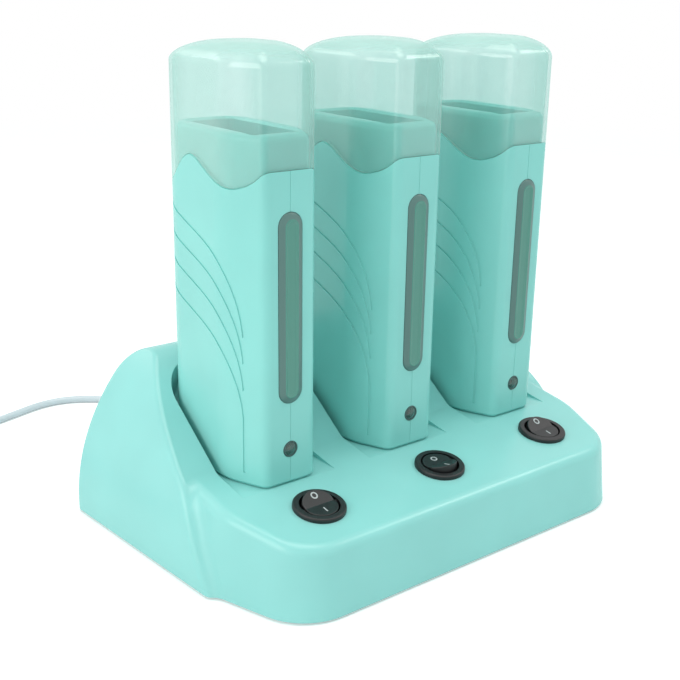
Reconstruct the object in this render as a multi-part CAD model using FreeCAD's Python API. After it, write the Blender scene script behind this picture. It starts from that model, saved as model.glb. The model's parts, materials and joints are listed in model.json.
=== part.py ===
import FreeCAD, Part
import math
import os
from FreeCAD import Placement, Rotation, Vector

# Roll-on wax heater: three hand-held wax heaters that stand in one charging base.
# Millimetres. X runs along the row of heaters, -Y is the front with the switches, +Z is up.
# The origin is on the table, under the middle of the base's footprint.

# ---- the row -------------------------------------------------------------------------
HEATER_COUNT = 3
HEATER_PITCH = 68.0

# ---- base: plan ----------------------------------------------------------------------
BASE_DEPTH = 150.0
FRONT_REACH = 48.5            # from the base's front edge to the heaters' front faces
TRAY_CORNER_X = 95.0          # where the front line and the flared side line would meet
TRAY_SIDE_X = 110.0
TRAY_SIDE_Y = 42.5            # how far behind the front edge the flare ends
TRAY_CORNER_R = 26.5
TRAY_BEND_R = 40.0
TRAY_LENGTH = 93.5
TRAY_DRAFT = 6.0
TRAY_EDGE_R = 5.0
WING_FRONT_Y = 41.5           # where the wings' front edges meet the table, behind the front edge
WING_FRONT_X = 113.3
WING_REAR_X = 123.0
WING_BULGE_R = 100.0
WING_BULGE_Z = 8.0            # height at which the wings are widest
WING_EDGE_R = 3.5

# ---- base: side profile --------------------------------------------------------------
FLOOR_Z = 38.8                # where the heaters stand
DECK_TILT = 8.25
KNEE_REACH = 20.5             # from the heaters' front faces to the foot of the shoulders
KNEE_R = 8.0
RISE_ANGLE = 34.2
CREST_R = 15.0
REAR_DRAFT = 3.5
WING_FRONT_ANGLE = 59.3
WING_FRONT_R = 45.0
SHELL_WALL = 2.5
FOOT_PROUD = 1.2

# ---- heater --------------------------------------------------------------------------
HEATER_WIDTH = 42.0
HEATER_DEPTH = 70.0
HEATER_FRONT_WIDTH = 25.0     # across the front face, where the lines of its flared sides meet it
HEATER_FRONT_R = 5.0
HEATER_FLARE_DEPTH = 18.5     # how far behind the front face the flare ends
HEATER_FLARE_R = 30.0
HEATER_REAR_R = 16.0
HEATER_TOP_Z = 221.5
HEATER_TAPER = 0.7            # how much each side comes in from the foot to the top
HEATER_HEEL_R = 38.0
HEATER_FOOT_BEVEL = 1.0
HEATER_FOOT_BEVEL_HEIGHT = 1.4
HEATER_WALL = 2.2
HEATER_FLOOR_WALL = 3.2
SEAT_GAP = 0.3
CAP_WALL = 1.6
CAP_CLEARANCE = 0.3
CAP_TOP_WALL = 1.6
CAP_CROWN_RISE = 9.0          # height of the domed top
CAP_CROWN_REACH = 24.0        # from the front face to the middle of the dome
CAP_CROWN_SHARE = 0.3         # size of the dome's flat middle, as a share of the outline
CAP_CROWN_POWER = 1.8         # of the dome's side view: 2 is an ellipse, less has a tighter rim
CAP_CROWN_STEPS = 8
SEAM_GAP = 0.4
NECK_TOP_Z = 187.5
NECK_CORNER_R = 3.5
NECK_LIP_R = 3.2
SHOULDER_Z = 159.5            # underside of the ledge that carries the neck
CHAMBER_WIDTH = 23.6          # the wax cartridge's chamber, open at the top of the neck
CHAMBER_FRONT = 7.6           # from the heater's front face
CHAMBER_REAR = 7.4            # from the heater's rear face
CHAMBER_CORNER_R = 4.0
CHAMBER_LEAD_IN = 1.0         # bevel round its mouth
SLEEVE_WALL = 1.0
SHELF_Z = 62.0
SHELF_THICKNESS = 2.0
SHELF_REACH = 4.0             # how far the shelf goes under the chamber
PARTING_WIDTH = 0.25
PARTING_DEPTH = 0.15

# wave-shaped seam between body and cap: (distance behind the front face, height),
# and engraved lines on the broad sides: (distance behind the front face, drop below the line's start),
# both for a heater of the depth WAVE_DEPTH
WAVE_DEPTH = 70.0
SEAM_WAVE = [(-6.0, 174.6), (0.0, 174.0), (4.3, 170.2), (10.3, 166.8), (16.0, 165.8), (24.0, 167.8),
             (34.0, 172.8), (43.0, 176.2), (51.0, 171.6), (58.0, 164.4), (66.0, 162.2), (78.0, 161.9)]
GROOVE_SHAPE = [(64.0, -2.0), (34.0, 11.6), (22.6, 18.5), (15.9, 27.0), (11.9, 36.8), (9.9, 48.5)]
GROOVE_START_Z = [154.0, 142.5, 130.8, 117.8]
GROOVE_FOOT_Z = 44.7
GROOVE_WIDTH = 1.1
GROOVE_DEPTH = 0.45
GROOVE_SPREAD = (0.78, -0.62)  # direction in which a line is widened, in the Y-Z plane
GROOVE_SKEW = 0.9             # cosine of the widest angle between that direction and a line's normal

# ---- window, indicator, inner pieces of a heater -------------------------------------
WINDOW_WIDTH = 11.8
WINDOW_BOTTOM_Z = 75.9
WINDOW_TOP_Z = 157.2
WINDOW_FIT = 0.1
WINDOW_FLANGE = 1.2
WINDOW_FLANGE_THICKNESS = 1.2
WINDOW_FLANGE_GAP = 0.3
INDICATOR_Z = 54.9
INDICATOR_R = 3.6
INDICATOR_FLANGE_R = 4.8
INDICATOR_FLANGE_THICKNESS = 0.8
LED_R = 1.5
BOARD_WIDTH = 16.0
BOARD_THICKNESS = 1.2
BOARD_BOTTOM_Z = 45.0
BOARD_TOP_Z = 57.6
STRIP_WIDTH = 12.0
STRIP_THICKNESS = 3.0
STRIP_BOTTOM_Z = 80.0
STRIP_LENGTH = 70.0
THERMOSTAT_R = 5.0
THERMOSTAT_HEIGHT = 5.0
HEATER_SCREW_INSET = 26.0     # from the heater's rear face
HEATER_SCREW_Z = 50.0
HEATER_BOSS_R = 4.0
HEATER_PILOT_R = 1.1
HEATER_SCREW_HOLE_R = 1.5
HEATER_SCREW_SHANK_R = 1.05
HEATER_SCREW_HEAD_R = 2.7
HEATER_SCREW_HEAD_HEIGHT = 1.8
HEATER_SCREW_RECESS_R = 3.0
HEATER_SCREW_RECESS = 3.4
HEATER_SCREW_BITE = 10.0

# ---- pockets and docks ---------------------------------------------------------------
POCKET_CLEARANCE = 2.0        # behind a heater
POCKET_SIDE_CLEARANCE = 3.2
DOCK_REACH = 22.0             # from the heaters' front faces to the dock's centre
DOCK_WIDTH = 22.0
DOCK_LENGTH = 16.0
DOCK_RISE = 3.0
DOCK_FLANGE = 2.0
DOCK_FLANGE_THICKNESS = 2.0
DOCK_FIT = 0.3
DOCK_EDGE_R = 2.0
DOCK_PIN_R = 1.3
DOCK_PIN_SPACING = 10.0
DOCK_PIN_TOP = 10.2           # above the pocket's floor
DOCK_PIN_TAIL = 6.0           # below the dock's flange
DOCK_PIN_FIT = 0.05
SOCKET_WIDTH = 28.0
SOCKET_LENGTH = 24.0
SOCKET_HEIGHT = 10.0
SOCKET_WINDOW_CLEARANCE = 0.7
PAD_BORE_CLEARANCE = 0.35
PAD_WALL = 0.5
PAD_HEIGHT = 6.0
PAD_TAB = 3.0

# ---- rocker switches -----------------------------------------------------------------
SWITCH_SETBACK = 20.8         # from the heaters' front faces forward to the switch centres
SWITCH_BEZEL_R = 11.5
SWITCH_BEZEL_HEIGHT = 2.0
SWITCH_BEZEL_EDGE = 0.8
SWITCH_BODY_R = 9.8
SWITCH_HOLE_R = 10.1
SWITCH_BODY_DEPTH = 16.0
SWITCH_RECESS_R = 8.8
SWITCH_RECESS_DEPTH = 6.0
SWITCH_BLADE_WIDTH = 4.8
SWITCH_BLADE_THICKNESS = 0.8
SWITCH_BLADE_LENGTH = 7.0
SWITCH_BLADE_SPACING = 8.0
ROCKER_R = 7.8
ROCKER_WIDTH = 14.8
ROCKER_TILT = 11.0
ROCKER_VALLEY_Z = 1.9
ROCKER_BOTTOM_Z = -3.5
ROCKER_PIVOT_R = 1.2
ROCKER_PIVOT_CLEARANCE = 0.05
ROCKER_PIVOT_BITE = 0.5
ROCKER_STATES = [1, -1, 1]    # +1: the rear half stands up; -1: the front half stands up

# ---- base cover, feet, screws --------------------------------------------------------
COVER_THICKNESS = 2.5
COVER_CLEARANCE = 0.25
FOOT_R = 7.0
FOOT_RECESS = 1.0
FOOT_PLACES = [(-80.0, -50.0), (80.0, -50.0), (-98.0, 55.0), (98.0, 55.0)]
BOSS_R = 3.5
BOSS_PILOT_R = 1.3
BOSS_PLACES = [(-62.0, -62.0), (62.0, -62.0), (-104.0, 18.0), (104.0, 18.0), (-62.0, 63.0), (62.0, 63.0)]
SCREW_SHANK_R = 1.25
SCREW_HOLE_R = 1.7
SCREW_HEAD_R = 2.9
SCREW_HEAD_HEIGHT = 1.4
SCREW_RECESS_R = 3.2
SCREW_RECESS = 1.5
SCREW_LENGTH = 12.0
VENT_COUNT = 7
VENT_PITCH = 9.0
VENT_LENGTH = 34.0
VENT_WIDTH = 3.0
VENT_Y = 18.0

# ---- wiring, cord and plug -----------------------------------------------------------
TERMINAL_WIDTH = 26.0
TERMINAL_LENGTH = 16.0
TERMINAL_HEIGHT = 12.0
TERMINAL_GAP = 4.0            # from the strain relief's inner end to the terminal block
WIRE_R = 1.0
SPLICE_SIZE = 3.0
SPLICE_BITE = 0.3             # how far a wire goes into a splice
SPLICE_LIFT = 0.02
SWITCH_LEAD_GAP = 0.3
CORD_R = 2.0
CORD_EXIT_X = -28.0
CORD_EXIT_Z = 12.0
RELIEF_BORE_R = 4.4
RELIEF_FIT = 0.1
RELIEF_FLANGE_R = 6.5
RELIEF_FLANGE_THICKNESS = 2.0
RELIEF_ROOT_R = 4.4
RELIEF_TIP_R = 3.0
RELIEF_LENGTH = 25.0          # from the rear wall's foot to the tip
CORD_FLOOR_Z = 2.05
RELIEF_TIP_Y = BASE_DEPTH / 2 + RELIEF_LENGTH
# the cord's route on the table, chosen point by point from the strain relief to the coil
CORD_ROUTE = [(CORD_EXIT_X, RELIEF_TIP_Y, CORD_EXIT_Z), (-28.3, 114.0, 11.2), (-29.2, 131.0, 5.6),
              (-32.0, 151.0, CORD_FLOOR_Z), (-39.0, 173.5, CORD_FLOOR_Z), (-53.0, 196.0, CORD_FLOOR_Z),
              (-79.0, 208.5, CORD_FLOOR_Z), (-112.0, 198.0, CORD_FLOOR_Z), (-142.0, 190.5, CORD_FLOOR_Z),
              (-167.0, 190.0, CORD_FLOOR_Z)]
COIL_X = -171.0
COIL_Y = 166.0
COIL_MEAN_R = 22.0
COIL_BUNDLE = 6.0             # half the width and height of the bundle of turns
COIL_EDGE_R = 2.0
TAIL_ROUTE = [(-196.0, 164.0, CORD_FLOOR_Z), (-196.6, 153.0, CORD_FLOOR_Z), (-198.2, 142.0, 4.0),
              (-200.0, 131.0, 6.9)]
PLUG_TIP_R = 3.0
PLUG_ROOT_R = 4.4
PLUG_NECK_LENGTH = 16.0
PLUG_WIDTH = 35.3
PLUG_HEIGHT = 13.7
PLUG_WAIST_WIDTH = 16.0
PLUG_WAIST_HEIGHT = 10.0
PLUG_TAPER_LENGTH = 16.0
PLUG_BODY_LENGTH = 19.0
PLUG_EDGE_R = 2.0
PLUG_PIN_R = 2.0
PLUG_PIN_LENGTH = 19.0
PLUG_PIN_SPACING = 18.6

# ---- worked out from the sizes above -------------------------------------------------
FRONT_Y = -BASE_DEPTH / 2
REAR_Y = BASE_DEPTH / 2
HEATER_Y = FRONT_Y + FRONT_REACH
HEATER_Z = FLOOR_Z + SEAT_GAP
HEATER_X = [HEATER_PITCH * (i - (HEATER_COUNT - 1) / 2) for i in range(HEATER_COUNT)]
DECK_SLOPE = math.tan(math.radians(DECK_TILT))
RISE_SLOPE = math.tan(math.radians(RISE_ANGLE))
KNEE_Y = HEATER_Y + KNEE_REACH
SWITCH_Y = HEATER_Y - SWITCH_SETBACK
DOCK_Y = HEATER_Y + DOCK_REACH
COVER_TOP_Z = FOOT_PROUD + COVER_THICKNESS
CHAMBER_LENGTH = HEATER_DEPTH - CHAMBER_FRONT - CHAMBER_REAR
CHAMBER_Y = HEATER_Y + CHAMBER_FRONT + CHAMBER_LENGTH / 2
CHAMBER_REAR_Y = CHAMBER_Y + CHAMBER_LENGTH / 2
HEATER_SCREW_Y = HEATER_Y + HEATER_DEPTH - HEATER_SCREW_INSET
WAVE_STRETCH = HEATER_DEPTH / WAVE_DEPTH
BIG = 400.0
TINY = 1e-6


def deck_z(y):
    """Height of the sloping front deck."""
    return FLOOR_Z + DECK_SLOPE * (y - HEATER_Y)


def rise_z(y):
    """Height of the shoulders' straight slope, behind the knee."""
    return deck_z(KNEE_Y) + RISE_SLOPE * (y - KNEE_Y)


# ---- plane maps, wires and small solids ----------------------------------------------
def in_xy(z):
    return lambda a, b: Vector(a, b, z)


def in_yz(x):
    return lambda a, b: Vector(x, a, b)


def corner_arc(before, corner, after):
    """Start, middle and end of the arc that rounds a corner (a, b, radius)."""
    a, b, radius = corner
    u = Vector(before[0] - a, before[1] - b, 0).normalize()
    v = Vector(after[0] - a, after[1] - b, 0).normalize()
    half = u.getAngle(v) / 2
    reach = radius / math.tan(half)
    toward = (u + v).normalize()
    point = Vector(a, b, 0)
    middle = point + toward * (radius / math.sin(half) - radius)
    return point + u * reach, middle, point + v * reach


def rounded_wire(corners, place):
    """Closed wire of straight lines and tangent arcs through corners (a, b, radius)."""
    stops = []
    for i, corner in enumerate(corners):
        before, after = corners[i - 1], corners[(i + 1) % len(corners)]
        if corner[2] > 0:
            stops.append(corner_arc(before, corner, after))
        else:
            point = Vector(corner[0], corner[1], 0)
            stops.append((point, None, point))
    edges = []
    for i, (start, middle, end) in enumerate(stops):
        if middle is not None:
            arc = Part.Arc(place(start.x, start.y), place(middle.x, middle.y), place(end.x, end.y))
            edges.append(arc.toShape())
        following = stops[(i + 1) % len(stops)][0]
        if end.distanceToPoint(following) > TINY:
            edges.append(Part.makeLine(place(end.x, end.y), place(following.x, following.y)))
    return Part.Wire(edges)


def inset(corners, amount):
    """The same closed outline (anticlockwise), moved inwards by amount, radii included."""
    moved = []
    for i, (a, b, radius) in enumerate(corners):
        before, after = corners[i - 1], corners[(i + 1) % len(corners)]
        into = Vector(before[1] - b, a - before[0], 0).normalize()
        out_of = Vector(b - after[1], after[0] - a, 0).normalize()
        shift = (into + out_of) * (amount / (1 + into.dot(out_of)))
        turn = (a - before[0]) * (after[1] - b) - (b - before[1]) * (after[0] - a)
        new_radius = radius - math.copysign(amount, turn) if radius > 0 else 0.0
        moved.append((a + shift.x, b + shift.y, max(new_radius, 0.0)))
    return moved


def prism_x(corners, half_width):
    """Outline in the Y-Z plane, extruded to both sides of x = 0."""
    return Part.Face(rounded_wire(corners, in_yz(-half_width))).extrude(Vector(2 * half_width, 0, 0))


def rounded_box_corners(x, y, width, length, radius):
    """Corners of a rounded rectangle centred at x, y."""
    w, l = width / 2, length / 2
    return [(x - w, y - l, radius), (x + w, y - l, radius), (x + w, y + l, radius), (x - w, y + l, radius)]


def rounded_block(x, y, width, length, radius, bottom, top):
    """Upright block with a rounded rectangular plan."""
    face = Part.Face(rounded_wire(rounded_box_corners(x, y, width, length, radius), in_xy(bottom)))
    return face.extrude(Vector(0, 0, top - bottom))


def block(x, y, width, length, bottom, top):
    """Upright rectangular block centred at x, y."""
    return Part.makeBox(width, length, top - bottom, Vector(x - width / 2, y - length / 2, bottom))


def upright(x, y, radius, bottom, top):
    """Upright cylinder."""
    return Part.makeCylinder(radius, top - bottom, Vector(x, y, bottom), Vector(0, 0, 1))


def along_x(start, y, z, radius, length):
    """Cylinder along X from start; a negative length runs towards -X."""
    direction = Vector(math.copysign(1, length), 0, 0)
    return Part.makeCylinder(radius, abs(length), Vector(start, y, z), direction)


def stadium(x, width, bottom, top, front, depth):
    """Upright slot shape with round ends in the X-Z plane, extruded towards +Y."""
    r = width / 2
    corners = [(x - r, bottom, r), (x + r, bottom, r), (x + r, top, r), (x - r, top, r)]
    wire = rounded_wire(corners, lambda a, b: Vector(a, front, b))
    return Part.Face(wire).extrude(Vector(0, depth, 0))


def edges_where(shape, test):
    """The shape's edges whose middle point passes the test."""
    found = []
    for edge in shape.Edges:
        middle = edge.valueAt((edge.FirstParameter + edge.LastParameter) / 2)
        if test(middle):
            found.append(edge)
    return found


def moved(shape, x, y=0.0, z=0.0):
    """A translated copy."""
    copy = shape.copy()
    copy.translate(Vector(x, y, z))
    return copy


def rod(start, end, radius):
    """Round bar between two points."""
    return Part.makeCylinder(radius, (end - start).Length, start, end - start)


def splice(x, y, z):
    """Crimped splice block where wires meet."""
    return block(x, y, SPLICE_SIZE, SPLICE_SIZE, z - SPLICE_SIZE / 2, z + SPLICE_SIZE / 2)


def wire(start, end, end_splice=True):
    """Straight wire from splice to splice, or from a splice to a bare end."""
    direction = (end - start).normalize()
    reach = SPLICE_SIZE / 2 - SPLICE_BITE
    last = end - direction * reach if end_splice else end
    return rod(start + direction * reach, last, WIRE_R)


# ---- base shell ----------------------------------------------------------------------
def tray_corners(clearance, z):
    """Plan outline of the front tray at height z, moved inwards by clearance."""
    y_side = FRONT_Y + TRAY_SIDE_Y
    y_back = FRONT_Y + TRAY_LENGTH
    corners = [(-TRAY_CORNER_X, FRONT_Y, TRAY_CORNER_R), (TRAY_CORNER_X, FRONT_Y, TRAY_CORNER_R),
               (TRAY_SIDE_X, y_side, TRAY_BEND_R), (TRAY_SIDE_X, y_back, 0.0),
               (-TRAY_SIDE_X, y_back, 0.0), (-TRAY_SIDE_X, y_side, TRAY_BEND_R)]
    return inset(corners, clearance + z * math.tan(math.radians(TRAY_DRAFT)))


def tray_form(clearance, bottom):
    """Front tray under the sloping deck; clearance 0 is its outside."""
    high = deck_z(FRONT_Y + TRAY_LENGTH) + 10.0
    low_wire = rounded_wire(tray_corners(clearance, bottom), in_xy(bottom))
    high_wire = rounded_wire(tray_corners(clearance, high), in_xy(high))
    body = Part.makeLoft([low_wire, high_wire], True, True)
    front, back = FRONT_Y - 20.0, FRONT_Y + TRAY_LENGTH + 20.0
    drop = clearance / math.cos(math.radians(DECK_TILT))
    under = [(front, bottom - 1.0, 0), (back, bottom - 1.0, 0),
             (back, deck_z(back) - drop, 0), (front, deck_z(front) - drop, 0)]
    return body.common(prism_x(under, BIG))


def rear_wall_y(z):
    """Outside of the rear wall at height z."""
    return REAR_Y - math.tan(math.radians(REAR_DRAFT)) * z


def wing_profile(bottom):
    """Side view of the wings and shoulders: front edge, slope, crest and rear wall."""
    front_slope = math.tan(math.radians(WING_FRONT_ANGLE))
    rear_slope = math.tan(math.radians(REAR_DRAFT))
    foot_y = FRONT_Y + WING_FRONT_Y
    bend_y = (rise_z(0) + front_slope * foot_y) / (front_slope - RISE_SLOPE)
    apex_y = (REAR_Y - rear_slope * rise_z(0)) / (1 + rear_slope * RISE_SLOPE)
    return [(foot_y + bottom / front_slope, bottom, 0), (REAR_Y - rear_slope * bottom, bottom, 0),
            (apex_y, rise_z(apex_y), CREST_R), (bend_y, rise_z(bend_y), WING_FRONT_R)]


def wing_section(y, clearance, bottom, top):
    """Front view of the wings at depth y: bulging sides that lean in towards the top."""
    flare = (WING_REAR_X - WING_FRONT_X) / (BASE_DEPTH - WING_FRONT_Y)
    half = WING_FRONT_X + flare * (y - FRONT_Y - WING_FRONT_Y) - clearance
    centre = half - WING_BULGE_R

    def side(z):
        return centre + math.sqrt(WING_BULGE_R ** 2 - (z - WING_BULGE_Z) ** 2)

    middle = (bottom + top) / 2
    right = [Vector(side(z), y, z) for z in (bottom, middle, top)]
    left = [Vector(-p.x, p.y, p.z) for p in right]
    return Part.Wire([Part.makeLine(left[0], right[0]), Part.Arc(*right).toShape(),
                      Part.makeLine(right[2], left[2]), Part.Arc(left[2], left[1], left[0]).toShape()])


def wing_form(clearance, bottom):
    """Wings, shoulders and crest as one block; clearance 0 is its outside."""
    side_view = prism_x(inset(wing_profile(bottom - clearance), clearance), BIG)
    top = rise_z(REAR_Y)
    near = wing_section(FRONT_Y, clearance, bottom - 1.0, top)
    far = wing_section(REAR_Y + 20.0, clearance, bottom - 1.0, top)
    return side_view.common(Part.makeLoft([near, far], True, True))


def pocket_form(x, clearance):
    """Space of one pocket: open to the front, with a heel that follows the heater."""
    gap = POCKET_CLEARANCE + clearance
    floor = FLOOR_Z - clearance
    front = FRONT_Y - 20.0
    rear = HEATER_Y + HEATER_DEPTH + gap
    half = HEATER_WIDTH / 2 + POCKET_SIDE_CLEARANCE + clearance
    radius = HEATER_REAR_R + gap
    plan = [(x - half, front, 0), (x + half, front, 0), (x + half, rear, radius), (x - half, rear, radius)]
    column = Part.Face(rounded_wire(plan, in_xy(floor))).extrude(Vector(0, 0, BIG))
    view = [(front, floor, 0), (rear, floor, HEATER_HEEL_R + gap), (rear, BIG, 0), (front, BIG, 0)]
    return column.common(prism_x(view, BIG))


def switch_placement(x):
    """Where a switch sits: on the deck's surface, square to it."""
    return Placement(Vector(x, SWITCH_Y, deck_z(SWITCH_Y)), Rotation(Vector(1, 0, 0), DECK_TILT))


def placed(shape, placement):
    """A copy of a shape modelled in its own frame, put in place."""
    copy = shape.copy()
    copy.Placement = placement.multiply(copy.Placement)
    return copy


def base_inside(extra):
    """The hollow of the base, made smaller by extra."""
    clearance = SHELL_WALL + extra
    hollow = tray_form(clearance, -5.0).fuse(wing_form(clearance, -5.0))
    for x in HEATER_X:
        hollow = hollow.cut(pocket_form(x, SHELL_WALL))
    return hollow


def base_top_shell(hollow):
    """Moulded top shell: tray, wings, crest, pockets, switch holes and screw bosses."""
    tray = tray_form(0.0, FOOT_PROUD)
    y_back = FRONT_Y + TRAY_LENGTH
    tray_edges = edges_where(tray, lambda p: p.y < y_back - TINY and abs(p.z - deck_z(p.y)) < 0.8)
    tray = tray.makeFillet(TRAY_EDGE_R, tray_edges)
    wings = wing_form(0.0, FOOT_PROUD)
    wing_edges = edges_where(wings, lambda p: abs(p.x) > WING_FRONT_X / 2 and p.z > FOOT_PROUD + TINY)
    wings = wings.makeFillet(WING_EDGE_R, wing_edges)
    shell = tray.fuse(wings).removeSplitter()
    knee_edges = edges_where(shell, lambda p: abs(p.y - KNEE_Y) < 1.0 and abs(p.z - deck_z(KNEE_Y)) < 0.5)
    knee_line = max(knee_edges, key=lambda edge: edge.Length)
    shell = shell.makeFillet(KNEE_R, [knee_line])
    for x in HEATER_X:
        shell = shell.cut(pocket_form(x, 0.0))
    shell = shell.cut(hollow)
    for x, y in BOSS_PLACES:
        shell = shell.fuse(upright(x, y, BOSS_R, COVER_TOP_Z, BIG).common(hollow))
    for x, y in BOSS_PLACES:
        shell = shell.cut(upright(x, y, BOSS_PILOT_R, COVER_TOP_Z, COVER_TOP_Z + SCREW_LENGTH))
    for x in HEATER_X:
        hole = upright(0, 0, SWITCH_HOLE_R, -SWITCH_BODY_DEPTH, SWITCH_BODY_DEPTH)
        shell = shell.cut(placed(hole, switch_placement(x)))
        dock_hole = rounded_block(x, DOCK_Y, DOCK_WIDTH + 2 * DOCK_FIT, DOCK_LENGTH + 2 * DOCK_FIT,
                                  DOCK_EDGE_R + DOCK_FIT, FLOOR_Z - SHELL_WALL - 1.0, FLOOR_Z + 1.0)
        shell = shell.cut(dock_hole)
    return shell.cut(cord_entry())


def cord_entry():
    """Hole for the strain relief in the rear wall."""
    start = Vector(CORD_EXIT_X, REAR_Y - RELIEF_LENGTH, CORD_EXIT_Z)
    return Part.makeCylinder(RELIEF_BORE_R + RELIEF_FIT, 2 * RELIEF_LENGTH, start, Vector(0, 1, 0))


def base_bottom_cover():
    """Flat cover inside the shell's skirt, with foot recesses, screw holes and vents."""
    slab = Part.makeBox(2 * BIG, 2 * BIG, COVER_THICKNESS, Vector(-BIG, -BIG, FOOT_PROUD))
    clearance = SHELL_WALL + COVER_CLEARANCE
    cover = tray_form(clearance, -5.0).fuse(wing_form(clearance, -5.0)).common(slab).removeSplitter()
    for x, y in FOOT_PLACES:
        cover = cover.cut(upright(x, y, FOOT_R, FOOT_PROUD, FOOT_PROUD + FOOT_RECESS))
    for x, y in BOSS_PLACES:
        cover = cover.cut(upright(x, y, SCREW_HOLE_R, 0.0, COVER_TOP_Z + 1.0))
        cover = cover.cut(upright(x, y, SCREW_RECESS_R, 0.0, FOOT_PROUD + SCREW_RECESS))
    for side in (-1, 1):
        for i in range(VENT_COUNT):
            x = side * HEATER_PITCH / 2 + (i - (VENT_COUNT - 1) / 2) * VENT_PITCH
            vent = rounded_block(x, VENT_Y, VENT_WIDTH, VENT_LENGTH, VENT_WIDTH / 2, 0.0, BIG)
            cover = cover.cut(vent)
    return cover


def rubber_feet():
    """Four round feet in the cover's recesses."""
    feet = []
    for x, y in FOOT_PLACES:
        foot = upright(x, y, FOOT_R - 0.1, 0.0, FOOT_PROUD + FOOT_RECESS)
        rim = edges_where(foot, lambda p: p.z < TINY)
        feet.append(foot.makeFillet(0.6, rim))
    return Part.makeCompound(feet)


def base_screws():
    """Screws that hold the cover to the shell's bosses."""
    screws = []
    seat = FOOT_PROUD + SCREW_RECESS
    for x, y in BOSS_PLACES:
        head = upright(x, y, SCREW_HEAD_R, seat - SCREW_HEAD_HEIGHT, seat)
        shank = upright(x, y, SCREW_SHANK_R, seat, seat + SCREW_LENGTH - 1.0)
        drive = block(x, y, 3.2, 0.7, 0.0, seat - 0.6)
        drive = drive.fuse(block(x, y, 0.7, 3.2, 0.0, seat - 0.6))
        screws.append(head.fuse(shank).cut(drive))
    return Part.makeCompound(screws)


# ---- docks ---------------------------------------------------------------------------
def dock_pin_places(x):
    return [(x - DOCK_PIN_SPACING / 2, DOCK_Y), (x + DOCK_PIN_SPACING / 2, DOCK_Y)]


def dock_block(x):
    """Contact block that comes up through the pocket's floor and locates the heater."""
    under = FLOOR_Z - SHELL_WALL
    flange = rounded_block(x, DOCK_Y, DOCK_WIDTH + 2 * DOCK_FLANGE, DOCK_LENGTH + 2 * DOCK_FLANGE,
                           DOCK_EDGE_R, under - DOCK_FLANGE_THICKNESS, under)
    body = rounded_block(x, DOCK_Y, DOCK_WIDTH, DOCK_LENGTH, DOCK_EDGE_R, under, FLOOR_Z + DOCK_RISE)
    rim = edges_where(body, lambda p: p.z > FLOOR_Z + DOCK_RISE - TINY)
    dock = flange.fuse(body.makeFillet(0.6, rim))
    for px, py in dock_pin_places(x):
        dock = dock.cut(upright(px, py, DOCK_PIN_R + DOCK_PIN_FIT, 0.0, BIG))
    return dock


def dock_pins():
    """Two contact pins for each dock, with a collar under the block."""
    pins = []
    under = FLOOR_Z - SHELL_WALL - DOCK_FLANGE_THICKNESS
    top = FLOOR_Z + DOCK_PIN_TOP
    for x in HEATER_X:
        for px, py in dock_pin_places(x):
            pin = upright(px, py, DOCK_PIN_R, under - DOCK_PIN_TAIL, top)
            pin = pin.makeFillet(DOCK_PIN_R * 0.6, edges_where(pin, lambda p: p.z > top - TINY))
            pins.append(pin.fuse(upright(px, py, DOCK_PIN_R * 1.7, under - 1.2, under)))
    return Part.makeCompound(pins)


# ---- switches ------------------------------------------------------------------------
def switch_housing():
    """Round bezel and body, in the switch's own frame."""
    bezel = upright(0, 0, SWITCH_BEZEL_R, 0.0, SWITCH_BEZEL_HEIGHT)
    rim = edges_where(bezel, lambda p: p.z > SWITCH_BEZEL_HEIGHT - TINY)
    bezel = bezel.makeFillet(SWITCH_BEZEL_EDGE, rim)
    housing = bezel.fuse(upright(0, 0, SWITCH_BODY_R, -SWITCH_BODY_DEPTH, 0.0))
    housing = housing.cut(upright(0, 0, SWITCH_RECESS_R, -SWITCH_RECESS_DEPTH, BIG))
    reach = SWITCH_RECESS_R + ROCKER_PIVOT_BITE + 0.1
    bore = along_x(-reach, 0, 0, ROCKER_PIVOT_R + ROCKER_PIVOT_CLEARANCE, 2 * reach)
    return housing.cut(bore)


def rocker():
    """Rocker with two flat halves that meet in a shallow valley, level, in the switch's own frame."""
    lift = math.tan(math.radians(ROCKER_TILT))
    end = 2 * ROCKER_R
    view = [(-end, ROCKER_BOTTOM_Z, 0), (end, ROCKER_BOTTOM_Z, 0), (end, ROCKER_VALLEY_Z + lift * end, 0),
            (0, ROCKER_VALLEY_Z, 0), (-end, ROCKER_VALLEY_Z + lift * end, 0)]
    body = prism_x(view, ROCKER_WIDTH / 2).common(upright(0, 0, ROCKER_R, -BIG, BIG))
    rims = edges_where(body, lambda p: p.z > ROCKER_VALLEY_Z + 0.05)
    body = body.makeFillet(0.4, rims)
    reach = SWITCH_RECESS_R + ROCKER_PIVOT_BITE
    return body.fuse(along_x(-reach, 0, 0, ROCKER_PIVOT_R, 2 * reach))


def switch_blades():
    """Two flat terminals under the switch, in its own frame."""
    blades = []
    for side in (-1, 1):
        blades.append(block(0, side * SWITCH_BLADE_SPACING / 2, SWITCH_BLADE_WIDTH, SWITCH_BLADE_THICKNESS,
                            -SWITCH_BODY_DEPTH - SWITCH_BLADE_LENGTH, -SWITCH_BODY_DEPTH))
    return blades


# ---- heater --------------------------------------------------------------------------
def heater_corners(clearance):
    """Plan outline of a heater at x = 0: narrow front face, flared sides, straight sides, rounded rear."""
    front, side = HEATER_FRONT_WIDTH / 2, HEATER_WIDTH / 2
    flare_y = HEATER_Y + HEATER_FLARE_DEPTH
    rear_y = HEATER_Y + HEATER_DEPTH
    corners = [(-front, HEATER_Y, HEATER_FRONT_R), (front, HEATER_Y, HEATER_FRONT_R),
               (side, flare_y, HEATER_FLARE_R), (side, rear_y, HEATER_REAR_R),
               (-side, rear_y, HEATER_REAR_R), (-side, flare_y, HEATER_FLARE_R)]
    return inset(corners, clearance)


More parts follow.
